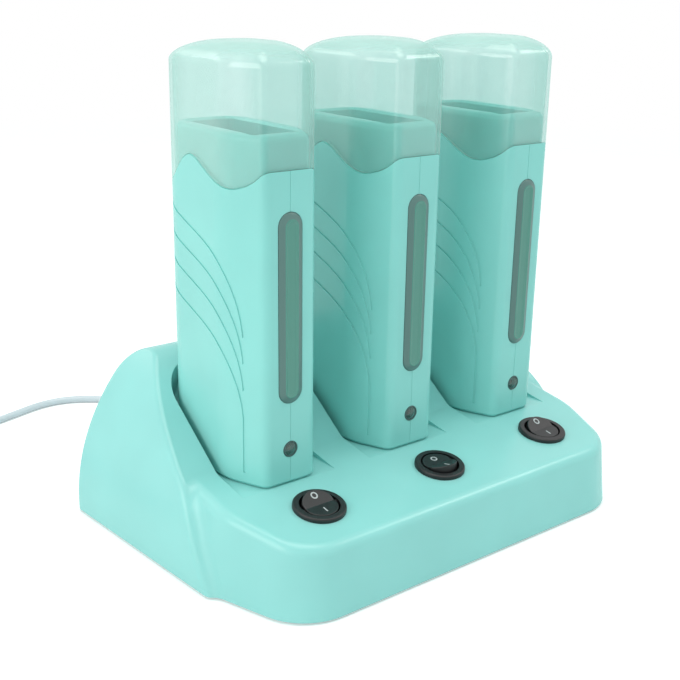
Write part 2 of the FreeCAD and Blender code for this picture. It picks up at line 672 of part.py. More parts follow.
def neck_corners(clearance):
    """Plan outline of the heater's neck, moved outwards by clearance."""
    corners = [(a, b, max(r, NECK_CORNER_R)) for a, b, r in heater_corners(neck_inset())]
    return inset(corners, -clearance)


def chamber_corners(extra):
    """Plan outline of the wax cartridge's space, moved outwards by extra."""
    corners = rounded_box_corners(0, CHAMBER_Y, CHAMBER_WIDTH, CHAMBER_LENGTH, CHAMBER_CORNER_R)
    return inset(corners, -extra)


def heater_form(depth):
    """Tapered outer form of body and cap together, moved inwards by depth on its sides and heel."""
    low = rounded_wire(heater_corners(depth), in_xy(HEATER_Z))
    high = rounded_wire(heater_corners(depth + HEATER_TAPER), in_xy(HEATER_TOP_Z))
    form = Part.makeLoft([low, high], True, True)
    rear = HEATER_Y + HEATER_DEPTH - depth
    front = HEATER_Y - 20.0
    view = [(front, HEATER_Z, 0), (rear, HEATER_Z, HEATER_HEEL_R - depth), (rear, BIG, 0), (front, BIG, 0)]
    return form.common(prism_x(view, BIG)).common(foot_bevel(depth))


def foot_bevel(depth):
    """Upright envelope whose foot is bevelled inwards."""
    bevel_top = HEATER_Z + HEATER_FOOT_BEVEL_HEIGHT
    low = rounded_wire(heater_corners(depth + HEATER_FOOT_BEVEL), in_xy(HEATER_Z))
    high = rounded_wire(heater_corners(depth - 0.1), in_xy(bevel_top))
    column = Part.Face(high).extrude(Vector(0, 0, HEATER_TOP_Z))
    return Part.makeLoft([low, high], True, True).fuse(column)


def seam_taper():
    """How far the tapered sides have come in at the height of the neck."""
    return HEATER_TAPER * (NECK_TOP_Z - HEATER_Z) / (HEATER_TOP_Z - HEATER_Z)


def neck_inset():
    """From the outline at the foot to the outside of the neck."""
    return seam_taper() + CAP_WALL + CAP_CLEARANCE


def above_seam(shift):
    """Everything above the wave-shaped seam, which is moved up by shift."""
    points = [Vector(-BIG, HEATER_Y + y * WAVE_STRETCH, z + shift) for y, z in SEAM_WAVE]
    curve = Part.BSplineCurve()
    curve.interpolate(points)
    first, last = points[0], points[-1]
    roof = [Vector(-BIG, last.y, BIG), Vector(-BIG, first.y, BIG)]
    wire = Part.Wire([curve.toShape(), Part.makeLine(last, roof[0]), Part.makeLine(roof[0], roof[1]),
                      Part.makeLine(roof[1], first)])
    return Part.Face(wire).extrude(Vector(2 * BIG, 0, 0))


def chamber_space(extra, bottom, top):
    """The wax cartridge's space, made wider by extra all round."""
    face = Part.Face(rounded_wire(chamber_corners(extra), in_xy(bottom)))
    return face.extrude(Vector(0, 0, top - bottom))


def chamber_mouth():
    """Bevel that leads a cartridge into the chamber."""
    low = rounded_wire(chamber_corners(0.0), in_xy(NECK_TOP_Z - CHAMBER_LEAD_IN))
    high = rounded_wire(chamber_corners(2 * CHAMBER_LEAD_IN), in_xy(NECK_TOP_Z + CHAMBER_LEAD_IN))
    return Part.makeLoft([low, high], True, True)


def groove_band():
    """The engraved lines as a flat pattern, extruded through the heater's width."""
    bands = []
    for start in GROOVE_START_Z:
        points = [Vector(-BIG, HEATER_Y + y * WAVE_STRETCH, start - drop) for y, drop in GROOVE_SHAPE]
        curve = Part.BSplineCurve()
        curve.interpolate(points)
        half_width = Vector(0, *GROOVE_SPREAD).normalize() * (GROOVE_WIDTH / 2 / GROOVE_SKEW)
        lower, upper = curve.copy(), curve.copy()
        lower.translate(-half_width)
        upper.translate(half_width)
        ends = [(lower.StartPoint, upper.StartPoint), (lower.EndPoint, upper.EndPoint)]
        wire = Part.Wire([lower.toShape(), Part.makeLine(*ends[1]),
                          upper.toShape(), Part.makeLine(*ends[0])])
        bands.append(Part.Face(wire).extrude(Vector(2 * BIG, 0, 0)))
    foot_y = HEATER_Y + GROOVE_SHAPE[-1][0] * WAVE_STRETCH
    run_top = GROOVE_START_Z[-1] - GROOVE_SHAPE[-1][1] + GROOVE_WIDTH / 2
    bands.append(block(0, foot_y, 2 * BIG, GROOVE_WIDTH, GROOVE_FOOT_Z, run_top))
    return bands[0].multiFuse(bands[1:])


def heater_shell_pair():
    """Both halves of the heater's casing with neck, shelf, slots and screw boss, at x = 0."""
    form = heater_form(0.0)
    body = form.cut(above_seam(-SEAM_GAP / 2))
    neck_low = min(z for y, z in SEAM_WAVE) - SEAM_GAP - 1.0
    neck_face = Part.Face(rounded_wire(neck_corners(0.0), in_xy(neck_low)))
    neck = neck_face.extrude(Vector(0, 0, NECK_TOP_Z - neck_low))
    neck = neck.makeFillet(NECK_LIP_R, edges_where(neck, lambda p: p.z > NECK_TOP_Z - TINY))
    inner = heater_form(HEATER_WALL)
    floor = HEATER_Z + HEATER_FLOOR_WALL
    cavity = inner.common(block(0, HEATER_Y, BIG, BIG, floor, SHOULDER_Z))
    shelf = cavity.common(block(0, HEATER_Y, BIG, BIG, SHELF_Z - SHELF_THICKNESS, SHELF_Z))
    shelf = shelf.cut(chamber_space(-SHELF_REACH, 0.0, BIG))
    boss = along_x(-BIG, HEATER_SCREW_Y, HEATER_SCREW_Z, HEATER_BOSS_R, 2 * BIG).common(cavity)
    shell = body.fuse(neck).cut(cavity).fuse(shelf).fuse(boss)
    shell = shell.cut(chamber_space(0.0, SHOULDER_Z - 1.0, BIG)).cut(chamber_mouth())
    dock_gap = DOCK_FIT + SOCKET_WINDOW_CLEARANCE
    shell = shell.cut(rounded_block(0, DOCK_Y, DOCK_WIDTH + 2 * dock_gap, DOCK_LENGTH + 2 * dock_gap,
                                    DOCK_EDGE_R, 0.0, floor + 0.5))
    slot_front = HEATER_Y - 5.0
    shell = shell.cut(stadium(0, WINDOW_WIDTH + 2 * WINDOW_FIT, WINDOW_BOTTOM_Z - WINDOW_FIT,
                              WINDOW_TOP_Z + WINDOW_FIT, slot_front, 5.0 + HEATER_WALL + 1.0))
    lens_hole = Part.makeCylinder(INDICATOR_R + WINDOW_FIT, 5.0 + HEATER_WALL + 1.0,
                                  Vector(0, slot_front, INDICATOR_Z), Vector(0, 1, 0))
    shell = shell.cut(lens_hole)
    shell = shell.cut(groove_band().cut(heater_form(GROOVE_DEPTH)))
    parting = block(0, HEATER_Y, PARTING_WIDTH, HEATER_DEPTH, 0.0, HEATER_TOP_Z)
    skin = form.cut(heater_form(PARTING_DEPTH)).common(parting)
    shell = shell.cut(skin)
    outer_x = HEATER_WIDTH / 2
    pilot = along_x(0.5, HEATER_SCREW_Y, HEATER_SCREW_Z, HEATER_PILOT_R, -HEATER_SCREW_BITE - 1.0)
    through = along_x(-TINY, HEATER_SCREW_Y, HEATER_SCREW_Z, HEATER_SCREW_HOLE_R, BIG)
    seat_x = outer_x - HEATER_SCREW_RECESS
    recess = along_x(seat_x, HEATER_SCREW_Y, HEATER_SCREW_Z, HEATER_SCREW_RECESS_R, BIG)
    right_half = Part.makeBox(BIG, 2 * BIG, 2 * BIG, Vector(0, -BIG, -BIG))
    left = shell.cut(right_half).cut(pilot)
    right = shell.common(right_half).cut(through).cut(recess)
    return left, right


def dome(corners, rim, rise):
    """Domed block over an outline at height rim: similar outlines that shrink along a superellipse."""
    middle = HEATER_Y + CAP_CROWN_REACH
    slices = []
    for step in range(CAP_CROWN_STEPS + 1):
        turn = math.pi / 2 * step / CAP_CROWN_STEPS
        across = abs(math.cos(turn)) ** (2 / CAP_CROWN_POWER)
        up = math.sin(turn) ** (2 / CAP_CROWN_POWER)
        share = 1 - (1 - CAP_CROWN_SHARE) * (1 - across)
        outline = [(a * share, middle + (b - middle) * share, r * share) for a, b, r in corners]
        slices.append(rounded_wire(outline, in_xy(rim + rise * up)))
    return Part.makeLoft(slices, True, False)


def heater_cap():
    """Translucent cap: thin shell over the neck, with a wave-shaped lower edge, at x = 0."""
    rim = HEATER_TOP_Z - CAP_CROWN_RISE
    rim_taper = HEATER_TAPER * (rim - HEATER_Z) / (HEATER_TOP_Z - HEATER_Z)
    outer = heater_form(0.0).common(block(0, HEATER_Y, BIG, BIG, 0.0, rim)).common(above_seam(SEAM_GAP / 2))
    outer = outer.fuse(dome(heater_corners(rim_taper), rim, CAP_CROWN_RISE))
    corners = neck_corners(CAP_CLEARANCE)
    inner = Part.Face(rounded_wire(corners, in_xy(0.0))).extrude(Vector(0, 0, rim))
    inner = inner.fuse(dome(corners, rim, CAP_CROWN_RISE - CAP_TOP_WALL))
    return outer.cut(inner)


def heater_window():
    """Clear sight window: flush pane with a flange behind the wall, at x = 0."""
    pane = stadium(0, WINDOW_WIDTH, WINDOW_BOTTOM_Z, WINDOW_TOP_Z, HEATER_Y, HEATER_WALL + 0.15)
    pane = pane.common(heater_form(0.0))
    flange = stadium(0, WINDOW_WIDTH + 2 * WINDOW_FLANGE, WINDOW_BOTTOM_Z - WINDOW_FLANGE,
                     WINDOW_TOP_Z + WINDOW_FLANGE, HEATER_Y + HEATER_WALL + seam_taper() + WINDOW_FLANGE_GAP,
                     WINDOW_FLANGE_THICKNESS)
    step = stadium(0, WINDOW_WIDTH, WINDOW_BOTTOM_Z, WINDOW_TOP_Z,
                   HEATER_Y + HEATER_WALL, seam_taper() + WINDOW_FLANGE_GAP + 0.1)
    return pane.fuse(step).fuse(flange)


def indicator_lens():
    """Round lens over the indicator lamp, at x = 0."""
    back = HEATER_WALL + 0.1
    lens = Part.makeCylinder(INDICATOR_R, back, Vector(0, HEATER_Y + 0.1, INDICATOR_Z), Vector(0, 1, 0))
    flange = Part.makeCylinder(INDICATOR_FLANGE_R, INDICATOR_FLANGE_THICKNESS,
                               Vector(0, HEATER_Y + back + 0.1, INDICATOR_Z), Vector(0, 1, 0))
    return lens.fuse(flange)


def heating_sleeve():
    """Aluminium heating chamber that holds the wax cartridge, with a slot behind the window."""
    top = SHOULDER_Z - 0.3
    sleeve = chamber_space(SLEEVE_WALL, SHELF_Z, top).cut(chamber_space(0.0, SHELF_Z + SLEEVE_WALL, BIG))
    slot = stadium(0, WINDOW_WIDTH + 0.4, WINDOW_BOTTOM_Z - 0.2, WINDOW_TOP_Z + 0.2,
                   HEATER_Y, CHAMBER_FRONT + 5.0)
    return sleeve.cut(slot)


def heating_strip():
    """Flat heating strip on the back of the sleeve."""
    y = CHAMBER_REAR_Y + SLEEVE_WALL + STRIP_THICKNESS / 2
    return rounded_block(0, y, STRIP_WIDTH, STRIP_THICKNESS, 0.5,
                         STRIP_BOTTOM_Z, STRIP_BOTTOM_Z + STRIP_LENGTH)


def thermostat():
    """Round thermostat under the sleeve's floor."""
    return upright(0, CHAMBER_Y, THERMOSTAT_R, SHELF_Z - THERMOSTAT_HEIGHT, SHELF_Z)


def socket_front():
    return DOCK_Y - SOCKET_LENGTH / 2


def indicator_board():
    """Small circuit board with its indicator lamp, in front of the contact socket."""
    back = socket_front()
    board = block(0, back - BOARD_THICKNESS / 2, BOARD_WIDTH, BOARD_THICKNESS, BOARD_BOTTOM_Z, BOARD_TOP_Z)
    tip = HEATER_Y + HEATER_WALL + INDICATOR_FLANGE_THICKNESS + 0.6
    length = back - BOARD_THICKNESS - tip
    lamp = Part.makeCylinder(LED_R, length, Vector(0, tip, INDICATOR_Z), Vector(0, 1, 0))
    lamp = lamp.makeFillet(LED_R * 0.7, edges_where(lamp, lambda p: p.y < tip + TINY))
    return board.fuse(lamp)


def contact_socket():
    """Insulating block over the dock, with a bore for each contact."""
    bottom = HEATER_Z + HEATER_FLOOR_WALL
    top = bottom + SOCKET_HEIGHT
    socket = rounded_block(0, DOCK_Y, SOCKET_WIDTH, SOCKET_LENGTH, DOCK_EDGE_R, bottom, top)
    bore = DOCK_PIN_R + PAD_BORE_CLEARANCE + PAD_WALL
    for px, py in dock_pin_places(0.0):
        socket = socket.cut(upright(px, py, bore, bottom - 1.0, top + 1.0))
    return socket


def contact_pads():
    """Sprung brass sleeves that slip over the dock's pins."""
    bottom = HEATER_Z + HEATER_FLOOR_WALL + 1.0
    top = HEATER_Z + HEATER_FLOOR_WALL + SOCKET_HEIGHT
    inner = DOCK_PIN_R + PAD_BORE_CLEARANCE
    pads = []
    for px, py in dock_pin_places(0.0):
        pad = upright(px, py, inner + PAD_WALL, bottom, top + PAD_TAB).cut(upright(px, py, inner, 0.0, top))
        pads.append(pad)
    return Part.makeCompound(pads)


def heater_screw():
    """Screw that pulls the right half of the casing to the left half."""
    y = HEATER_SCREW_Y
    seat = HEATER_WIDTH / 2 - HEATER_SCREW_RECESS
    head = along_x(seat, y, HEATER_SCREW_Z, HEATER_SCREW_HEAD_R, HEATER_SCREW_HEAD_HEIGHT)
    shank = along_x(seat, y, HEATER_SCREW_Z, HEATER_SCREW_SHANK_R, -seat - HEATER_SCREW_BITE)
    slot_x = seat + HEATER_SCREW_HEAD_HEIGHT - 0.8
    drive = Part.makeBox(2.0, 3.0, 0.7, Vector(slot_x, y - 1.5, HEATER_SCREW_Z - 0.35))
    cross = Part.makeBox(2.0, 0.7, 3.0, Vector(slot_x, y - 0.35, HEATER_SCREW_Z - 1.5))
    return head.fuse(shank).cut(drive.fuse(cross))


# ---- wiring, cord and plug -----------------------------------------------------------
def strain_relief():
    """Tapered sleeve where the cord leaves the rear wall."""
    forward = Vector(0, 1, 0)
    outer_face = relief_outer_y()
    inner_face = relief_inner_y() + RELIEF_FLANGE_THICKNESS
    inner_start = Vector(CORD_EXIT_X, inner_face - RELIEF_FLANGE_THICKNESS, CORD_EXIT_Z)
    inner = Part.makeCylinder(RELIEF_FLANGE_R, RELIEF_FLANGE_THICKNESS, inner_start, forward)
    neck = Part.makeCylinder(RELIEF_BORE_R, outer_face - inner_face,
                             Vector(CORD_EXIT_X, inner_face, CORD_EXIT_Z), forward)
    collar = Part.makeCylinder(RELIEF_FLANGE_R, RELIEF_FLANGE_THICKNESS,
                               Vector(CORD_EXIT_X, outer_face, CORD_EXIT_Z), forward)
    start = Vector(CORD_EXIT_X, outer_face + RELIEF_FLANGE_THICKNESS, CORD_EXIT_Z)
    length = CORD_ROUTE[0][1] - start.y
    taper = Part.makeCone(RELIEF_ROOT_R, RELIEF_TIP_R, length, start, forward)
    return inner.fuse(neck).fuse(collar).fuse(taper)


def relief_outer_y():
    """Where the outer collar touches the rear wall."""
    return rear_wall_y(CORD_EXIT_Z - RELIEF_FLANGE_R) + 0.05


def relief_inner_y():
    """Front face of the flange behind the rear wall."""
    wall = SHELL_WALL / math.cos(math.radians(REAR_DRAFT))
    return rear_wall_y(CORD_EXIT_Z + RELIEF_FLANGE_R) - wall - 0.05 - RELIEF_FLANGE_THICKNESS


def terminal_y():
    return relief_inner_y() - TERMINAL_GAP - TERMINAL_LENGTH / 2


def terminal_block():
    """Terminal block on the cover, where the mains cord is connected."""
    y = terminal_y()
    body = block(CORD_EXIT_X, y, TERMINAL_WIDTH, TERMINAL_LENGTH, COVER_TOP_Z, COVER_TOP_Z + TERMINAL_HEIGHT)
    for side in (-1, 0, 1):
        x = CORD_EXIT_X + side * TERMINAL_WIDTH / 3
        body = body.cut(upright(x, y, 2.0, COVER_TOP_Z + TERMINAL_HEIGHT - 3.0, BIG))
    return body


def internal_wiring():
    """Wires along the cover, from the terminal block to docks and switches, and the cord's inner end."""
    z = COVER_TOP_Z + SPLICE_SIZE / 2 + SPLICE_LIFT
    pin_foot = FLOOR_Z - SHELL_WALL - DOCK_FLANGE_THICKNESS - DOCK_PIN_TAIL
    feed_y = terminal_y() - TERMINAL_LENGTH / 2
    pieces = [wire(Vector(CORD_EXIT_X, DOCK_Y, z), Vector(CORD_EXIT_X, feed_y, z), end_splice=False)]
    stops = [CORD_EXIT_X]
    for x in HEATER_X:
        foot = switch_placement(x).multVec(
            Vector(0, SWITCH_BLADE_SPACING / 2, -SWITCH_BODY_DEPTH - SWITCH_BLADE_LENGTH - SWITCH_LEAD_GAP))
        corner = Vector(x, foot.y, z)
        pieces.append(wire(Vector(x, DOCK_Y, z), corner))
        pieces.append(splice(*corner))
        pieces.append(wire(corner, foot, end_splice=False))
        stops.append(x)
        for px, py in dock_pin_places(x):
            pieces.append(wire(Vector(px, py, z), Vector(px, py, pin_foot), end_splice=False))
            stops.append(px)
    stops.sort()
    for x in stops:
        pieces.append(splice(x, DOCK_Y, z))
    for near, far in zip(stops, stops[1:]):
        pieces.append(wire(Vector(near, DOCK_Y, z), Vector(far, DOCK_Y, z)))
    harness = pieces[0].multiFuse(pieces[1:])
    lead_start = Vector(CORD_EXIT_X, relief_inner_y(), CORD_EXIT_Z)
    lead = rod(lead_start, lead_start - Vector(0, TERMINAL_GAP, 0), CORD_R)
    return Part.makeCompound([harness, lead])


def cord_tube(name, route):
    """Round cord along straight runs joined by tangent arcs, with a check of its volume."""
    stops = [Vector(*p) for p in route]
    edges = []
    radii = []
    last = stops[0]
    for before, corner, after in zip(stops, stops[1:], stops[2:]):
        u = (before - corner).normalize()
        v = (after - corner).normalize()
        half = u.getAngle(v) / 2
        reach = 0.45 * min((corner - before).Length, (after - corner).Length)
        radius = reach * math.tan(half)
        toward = (u + v).normalize()
        middle = corner + toward * (radius / math.sin(half) - radius)
        start, end = corner + u * reach, corner + v * reach
        edges.append(Part.LineSegment(last, start).toShape())
        edges.append(Part.Arc(start, middle, end).toShape())
        radii.append(radius)
        last = end
    edges.append(Part.LineSegment(last, stops[-1]).toShape())
    path = Part.Wire(edges)
    section = Part.Wire(Part.makeCircle(CORD_R, stops[0], stops[1] - stops[0]))
    tube = path.makePipeShell([section], True, True)
    expected = math.pi * CORD_R ** 2 * path.Length
    print(name, "length", round(path.Length, 1), "radii", [round(r, 1) for r in radii],
          "volume ratio", round(tube.Volume / expected, 5), "valid", tube.isValid())
    return tube


def cord_coil():
    """Outer shape of the neat coil of put-away cord."""
    low = COIL_MEAN_R - COIL_BUNDLE
    high = COIL_MEAN_R + COIL_BUNDLE
    bottom = CORD_FLOOR_Z - CORD_R
    ring = upright(COIL_X, COIL_Y, high, bottom, bottom + 2 * COIL_BUNDLE)
    ring = ring.cut(upright(COIL_X, COIL_Y, low, 0.0, BIG))
    rims = [edge for edge in ring.Edges if edge.Closed]
    return ring.makeFillet(COIL_EDGE_R, rims)


def plug_body():
    """Flat two-pin mains plug with a tapered neck, lying on the table."""
    tip = Vector(*TAIL_ROUTE[-1])
    back = Vector(0, -1, 0)
    neck = Part.makeCone(PLUG_TIP_R, PLUG_ROOT_R, PLUG_NECK_LENGTH, tip, back)

    def slice_wire(distance, width, height, radius):
        y = tip.y - PLUG_NECK_LENGTH - distance
        w, h = width / 2, height / 2
        corners = [(tip.x - w, tip.z - h, radius), (tip.x + w, tip.z - h, radius),
                   (tip.x + w, tip.z + h, radius), (tip.x - w, tip.z + h, radius)]
        return rounded_wire(corners, lambda a, b: Vector(a, y, b))

    slices = [slice_wire(0.0, PLUG_WAIST_WIDTH, PLUG_WAIST_HEIGHT, 3.0),
              slice_wire(PLUG_TAPER_LENGTH, PLUG_WIDTH, PLUG_HEIGHT, 5.0),
              slice_wire(PLUG_TAPER_LENGTH + PLUG_BODY_LENGTH, PLUG_WIDTH - 2.0, PLUG_HEIGHT - 1.0, 5.0)]
    return neck.fuse(Part.makeLoft(slices, True, True))


def plug_pins():
    """The plug's two round pins."""
    tip = Vector(*TAIL_ROUTE[-1])
    y = tip.y - PLUG_NECK_LENGTH - PLUG_TAPER_LENGTH - PLUG_BODY_LENGTH
    pins = []
    for side in (-1, 1):
        foot = Vector(tip.x + side * PLUG_PIN_SPACING / 2, y, tip.z)
        pin = Part.makeCylinder(PLUG_PIN_R, PLUG_PIN_LENGTH, foot, Vector(0, -1, 0))
        end = y - PLUG_PIN_LENGTH
        pins.append(pin.makeFillet(PLUG_PIN_R * 0.8, edges_where(pin, lambda p: p.y < end + TINY)))
    return Part.makeCompound(pins)


# ---- writing the nodes ---------------------------------------------------------------
def save(name, shape):
    """Write one node and report it."""
    valid = shape.isValid() and all(solid.isClosed() for solid in shape.Solids)
    print(f"{name}: {len(shape.Solids)} solid(s), {shape.Volume / 1000:.2f} cm3, ok {valid}")
    shape.exportStep(f"parts/{name}.step")


def save_base():
    """Shell, cover, feet, screws, docks and wiring."""
    hollow = base_inside(0.0)
    save("base_top_shell", base_top_shell(hollow))
    save("base_bottom_cover", base_bottom_cover())
    save("rubber_feet", rubber_feet())
    save("base_screws", base_screws())
    for i, x in enumerate(HEATER_X):
        save(f"dock_block_{i + 1}", dock_block(x))
    save("dock_pins", dock_pins())
    save("terminal_block", terminal_block())
    save("internal_wiring", internal_wiring())


def save_switches():
    """Housings, rockers and terminals of the rocker switches."""
    blades = []
    for i, x in enumerate(HEATER_X):
        placement = switch_placement(x)
        save(f"switch_housing_{i + 1}", placed(switch_housing(), placement))
        state = ROCKER_STATES[i % len(ROCKER_STATES)]
        tilt = Placement(Vector(), Rotation(Vector(1, 0, 0), state * ROCKER_TILT))
        save(f"rocker_{i + 1}", placed(rocker(), placement.multiply(tilt)))
        blades.extend(placed(blade, placement) for blade in switch_blades())
    save("switch_terminals", Part.makeCompound(blades))


def save_heaters():
    """Each heater's pieces, made once and copied along the row."""
    left, right = heater_shell_pair()
    pieces = {
        "left_shell": left,
        "right_shell": right,
        "window": heater_window(),
        "indicator_lens": indicator_lens(),
        "sleeve": heating_sleeve(),
        "heating_strip": heating_strip(),
        "thermostat": thermostat(),
        "indicator_board": indicator_board(),
        "contact_socket": contact_socket(),
        "contact_pads": contact_pads(),
        "screw": heater_screw(),
        "cap": heater_cap(),
    }
    for i, x in enumerate(HEATER_X):
        for name, shape in pieces.items():
            save(f"heater_{i + 1}_{name}", moved(shape, x))


def save_cord():
    """Strain relief, cord, coil and plug."""
    save("strain_relief", strain_relief())
    save("power_cord", cord_tube("power_cord", CORD_ROUTE))
    save("power_cord_coil", cord_coil())
    save("power_cord_tail", cord_tube("power_cord_tail", TAIL_ROUTE))
    save("plug_body", plug_body())
    save("plug_pins", plug_pins())


os.makedirs("parts", exist_ok=True)
save_base()
save_switches()
save_heaters()
save_cord()
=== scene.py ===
"""Roll-on wax heater station: finishes, small pieces, mains cord, studio and camera.

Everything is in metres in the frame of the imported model: +X along the row of heaters, -Y the front,
+Z up, the origin on the table. Sizes of small pieces are written in millimetres and turned by MM.
"""

import json
import logging
import math
from dataclasses import dataclass, field
from enum import Enum

import bmesh
import bpy
from mathutils import Matrix, Vector
from mathutils.bvhtree import BVHTree


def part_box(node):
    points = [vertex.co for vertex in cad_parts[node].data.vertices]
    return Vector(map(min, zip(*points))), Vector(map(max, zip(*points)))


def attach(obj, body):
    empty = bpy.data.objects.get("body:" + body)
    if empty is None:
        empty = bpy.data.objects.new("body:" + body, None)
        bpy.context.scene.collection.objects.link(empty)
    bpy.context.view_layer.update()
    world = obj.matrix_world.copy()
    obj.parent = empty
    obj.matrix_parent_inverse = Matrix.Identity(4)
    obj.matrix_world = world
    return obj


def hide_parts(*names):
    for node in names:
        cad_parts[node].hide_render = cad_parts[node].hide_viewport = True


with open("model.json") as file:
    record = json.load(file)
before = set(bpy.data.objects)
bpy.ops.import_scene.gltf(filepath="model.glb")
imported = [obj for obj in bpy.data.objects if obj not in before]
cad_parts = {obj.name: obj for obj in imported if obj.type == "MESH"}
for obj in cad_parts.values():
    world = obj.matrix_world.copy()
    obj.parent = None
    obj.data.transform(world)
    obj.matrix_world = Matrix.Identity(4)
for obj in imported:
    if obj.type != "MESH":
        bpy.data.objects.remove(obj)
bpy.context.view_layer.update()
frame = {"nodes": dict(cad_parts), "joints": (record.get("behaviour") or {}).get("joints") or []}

LOG = logging.getLogger("wax_heater")
MM = 0.001
WHITE = (1.0, 1.0, 1.0, 1.0)
HEATERS = (1, 2, 3)            # from left to right
# sizes in millimetres
FRONT_Y = -26.5                # front faces of the heaters, at their foot
HEATER_FOOT_Z = 39.1
HEATER_HEIGHT = 182.4
HEATER_TAPER = 0.7             # how far the front face leans back over that height
DROP_HEIGHT = 20.0             # above a rocker, where points start that are dropped onto it

Ring = list[Vector]
Socket = bpy.types.NodeSocket


# ---- small helpers ---------------------------------------------------------------------
def linear(hex_colour: str) -> tuple[float, float, float, float]:
    """Turns an sRGB colour such as "#81DACE" into linear red, green, blue and alpha.

    Args:
        hex_colour: the colour, with its leading hash.

    Returns:
        The linear colour that Blender's shaders take.
    """
    parts = [int(hex_colour[i:i + 2], 16) / 255 for i in (1, 3, 5)]
    red, green, blue = (p / 12.92 if p <= 0.04045 else ((p + 0.055) / 1.055) ** 2.4 for p in parts)
    return red, green, blue, 1.0


def add_node(tree: bpy.types.NodeTree, kind: str, sockets: dict[int | str, object] | None = None,
             **settings: object) -> bpy.types.Node:
    """Adds one shader node with its settings, values and links.

    Args:
        tree: the node tree of the material or world.
        kind: the node's type without "ShaderNode", such as "BsdfPrincipled".
        sockets: input by name or number, with a value, or with the output socket to link to it.
        settings: the node's own properties, such as operation="MULTIPLY".

    Returns:
        The new node.
    """
    node = tree.nodes.new("ShaderNode" + kind)
    for key, value in settings.items():
        setattr(node, key, value)
    for key, value in (sockets or {}).items():
        if isinstance(value, bpy.types.NodeSocket):
            tree.links.new(value, node.inputs[key])
        else:
            node.inputs[key].default_value = value
    return node


def middle_x(node: str) -> float:
    """Gives the x of a CAD node's middle, in millimetres."""
    low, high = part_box(node)
    return (low[0] + high[0]) / 2 / MM


def per_metre(size_mm: float) -> float:
    """Gives the texture scale at which one cell of a pattern is this many millimetres wide."""
    return 1.0 / (size_mm * MM)


def circle(radius: float, steps: int, start: float = 0.0) -> list[tuple[float, float]]:
    """Gives the points of a circle, anticlockwise, for rings of a loft."""
    turn = 2 * math.pi / steps
    return [(radius * math.cos(start + turn * i), radius * math.sin(start + turn * i)) for i in range(steps)]


def stadium(half_width: float, low: float, high: float, steps: int) -> list[tuple[float, float]]:
    """Gives a slot with round ends.

    Args:
        half_width: half of the slot's width, also the radius of its ends.
        low: height of its lowest point.
        high: height of its highest point.
        steps: points on each round end.

    Returns:
        The points (across, up), anticlockwise from the right.
    """
    points = []
    for centre, first in ((high - half_width, 0.0), (low + half_width, math.pi)):
        for i in range(steps + 1):
            angle = first + math.pi * i / steps
            points.append((half_width * math.cos(angle), centre + half_width * math.sin(angle)))
    return points


def rounded_box(half_a: float, half_b: float, power: float, steps: int) -> list[tuple[float, float]]:
    """Gives a box outline with soft corners (a superellipse).

    Args:
        half_a: half of its width.
        half_b: half of its height.
        power: 2 for an ellipse, more for squarer corners.
        steps: number of points.

    Returns:
        The points (across, up), anticlockwise from the right.
    """
    points = []
    for cosine, sine in circle(1.0, steps):
        points.append((half_a * math.copysign(abs(cosine) ** (2 / power), cosine),
                       half_b * math.copysign(abs(sine) ** (2 / power), sine)))
    return points


def loft(name: str, rings: list[Ring], cap_start: bool = True, cap_end: bool = True,
         closed: bool = False) -> bpy.types.Object:
    """Skins a run of rings that have the same number of points.

    Args:
        name: the piece's name.
        rings: rings of points in millimetres.
        cap_start: whether the first ring is filled.
        cap_end: whether the last ring is filled.
        closed: whether the last ring joins the first one, as on a hoop.

    Returns:
        The new object, in metres, smooth shaded.
    """
    count = len(rings[0])
    points = [p * MM for ring in rings for p in ring]
    spans = len(rings) if closed else len(rings) - 1
    faces: list[list[int]] = []
    for r in range(spans):
        here, there = r * count, (r + 1) % len(rings) * count
        for i in range(count):
            k = (i + 1) % count
            faces.append([here + i, here + k, there + k, there + i])
    if cap_start and not closed:
        faces.append(list(range(count))[::-1])
    if cap_end and not closed:
        faces.append(list(range((len(rings) - 1) * count, len(rings) * count)))
    mesh = bpy.data.meshes.new(name)
    mesh.from_pydata([tuple(p) for p in points], [], faces)
    mesh.validate()
    mesh.update()
    mesh.polygons.foreach_set("use_smooth", [True] * len(mesh.polygons))
    piece = bpy.data.objects.new(name, mesh)
    bpy.context.scene.collection.objects.link(piece)
    return piece


def face_outwards(piece: bpy.types.Object) -> None:
    """Turns every face of a closed mesh to the outside.

    Args:
        piece: the object whose mesh is turned.
    """
    work = bmesh.new()
    work.from_mesh(piece.data)
    bmesh.ops.recalc_face_normals(work, faces=work.faces)
    work.to_mesh(piece.data)
    work.free()


def keep_edges(piece: bpy.types.Object, degrees: float) -> None:
    """Keeps edges sharper than this angle sharp in the shading."""
    piece.data.set_sharp_from_angle(angle=math.radians(degrees))


def settle(piece: bpy.types.Object, material: bpy.types.Material, body: str,
           replaces: tuple[str, ...] = ()) -> bpy.types.Object:
    """Gives a new piece its material, its body and the CAD nodes that it stands for.

    Args:
        piece: the new object.
        material: its material.
        body: the CAD body that it moves with.
        replaces: names of the CAD nodes that it stands for.

    Returns:
        The same object.
    """
    piece.data.materials.append(material)
    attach(piece, body)
    if replaces:
        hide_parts(*replaces)
    LOG.info("piece %s rides on %s", piece.name, body)
    return piece


def dress(material: bpy.types.Material, *names: str) -> None:
    """Puts a material on CAD nodes.

    Args:
        material: the finish's material.
        names: the nodes that get it.
    """
    for name in names:
        for slot in frame["nodes"][name].material_slots:
            slot.material = material
        LOG.info("node %s has finish %s", name, material.name)


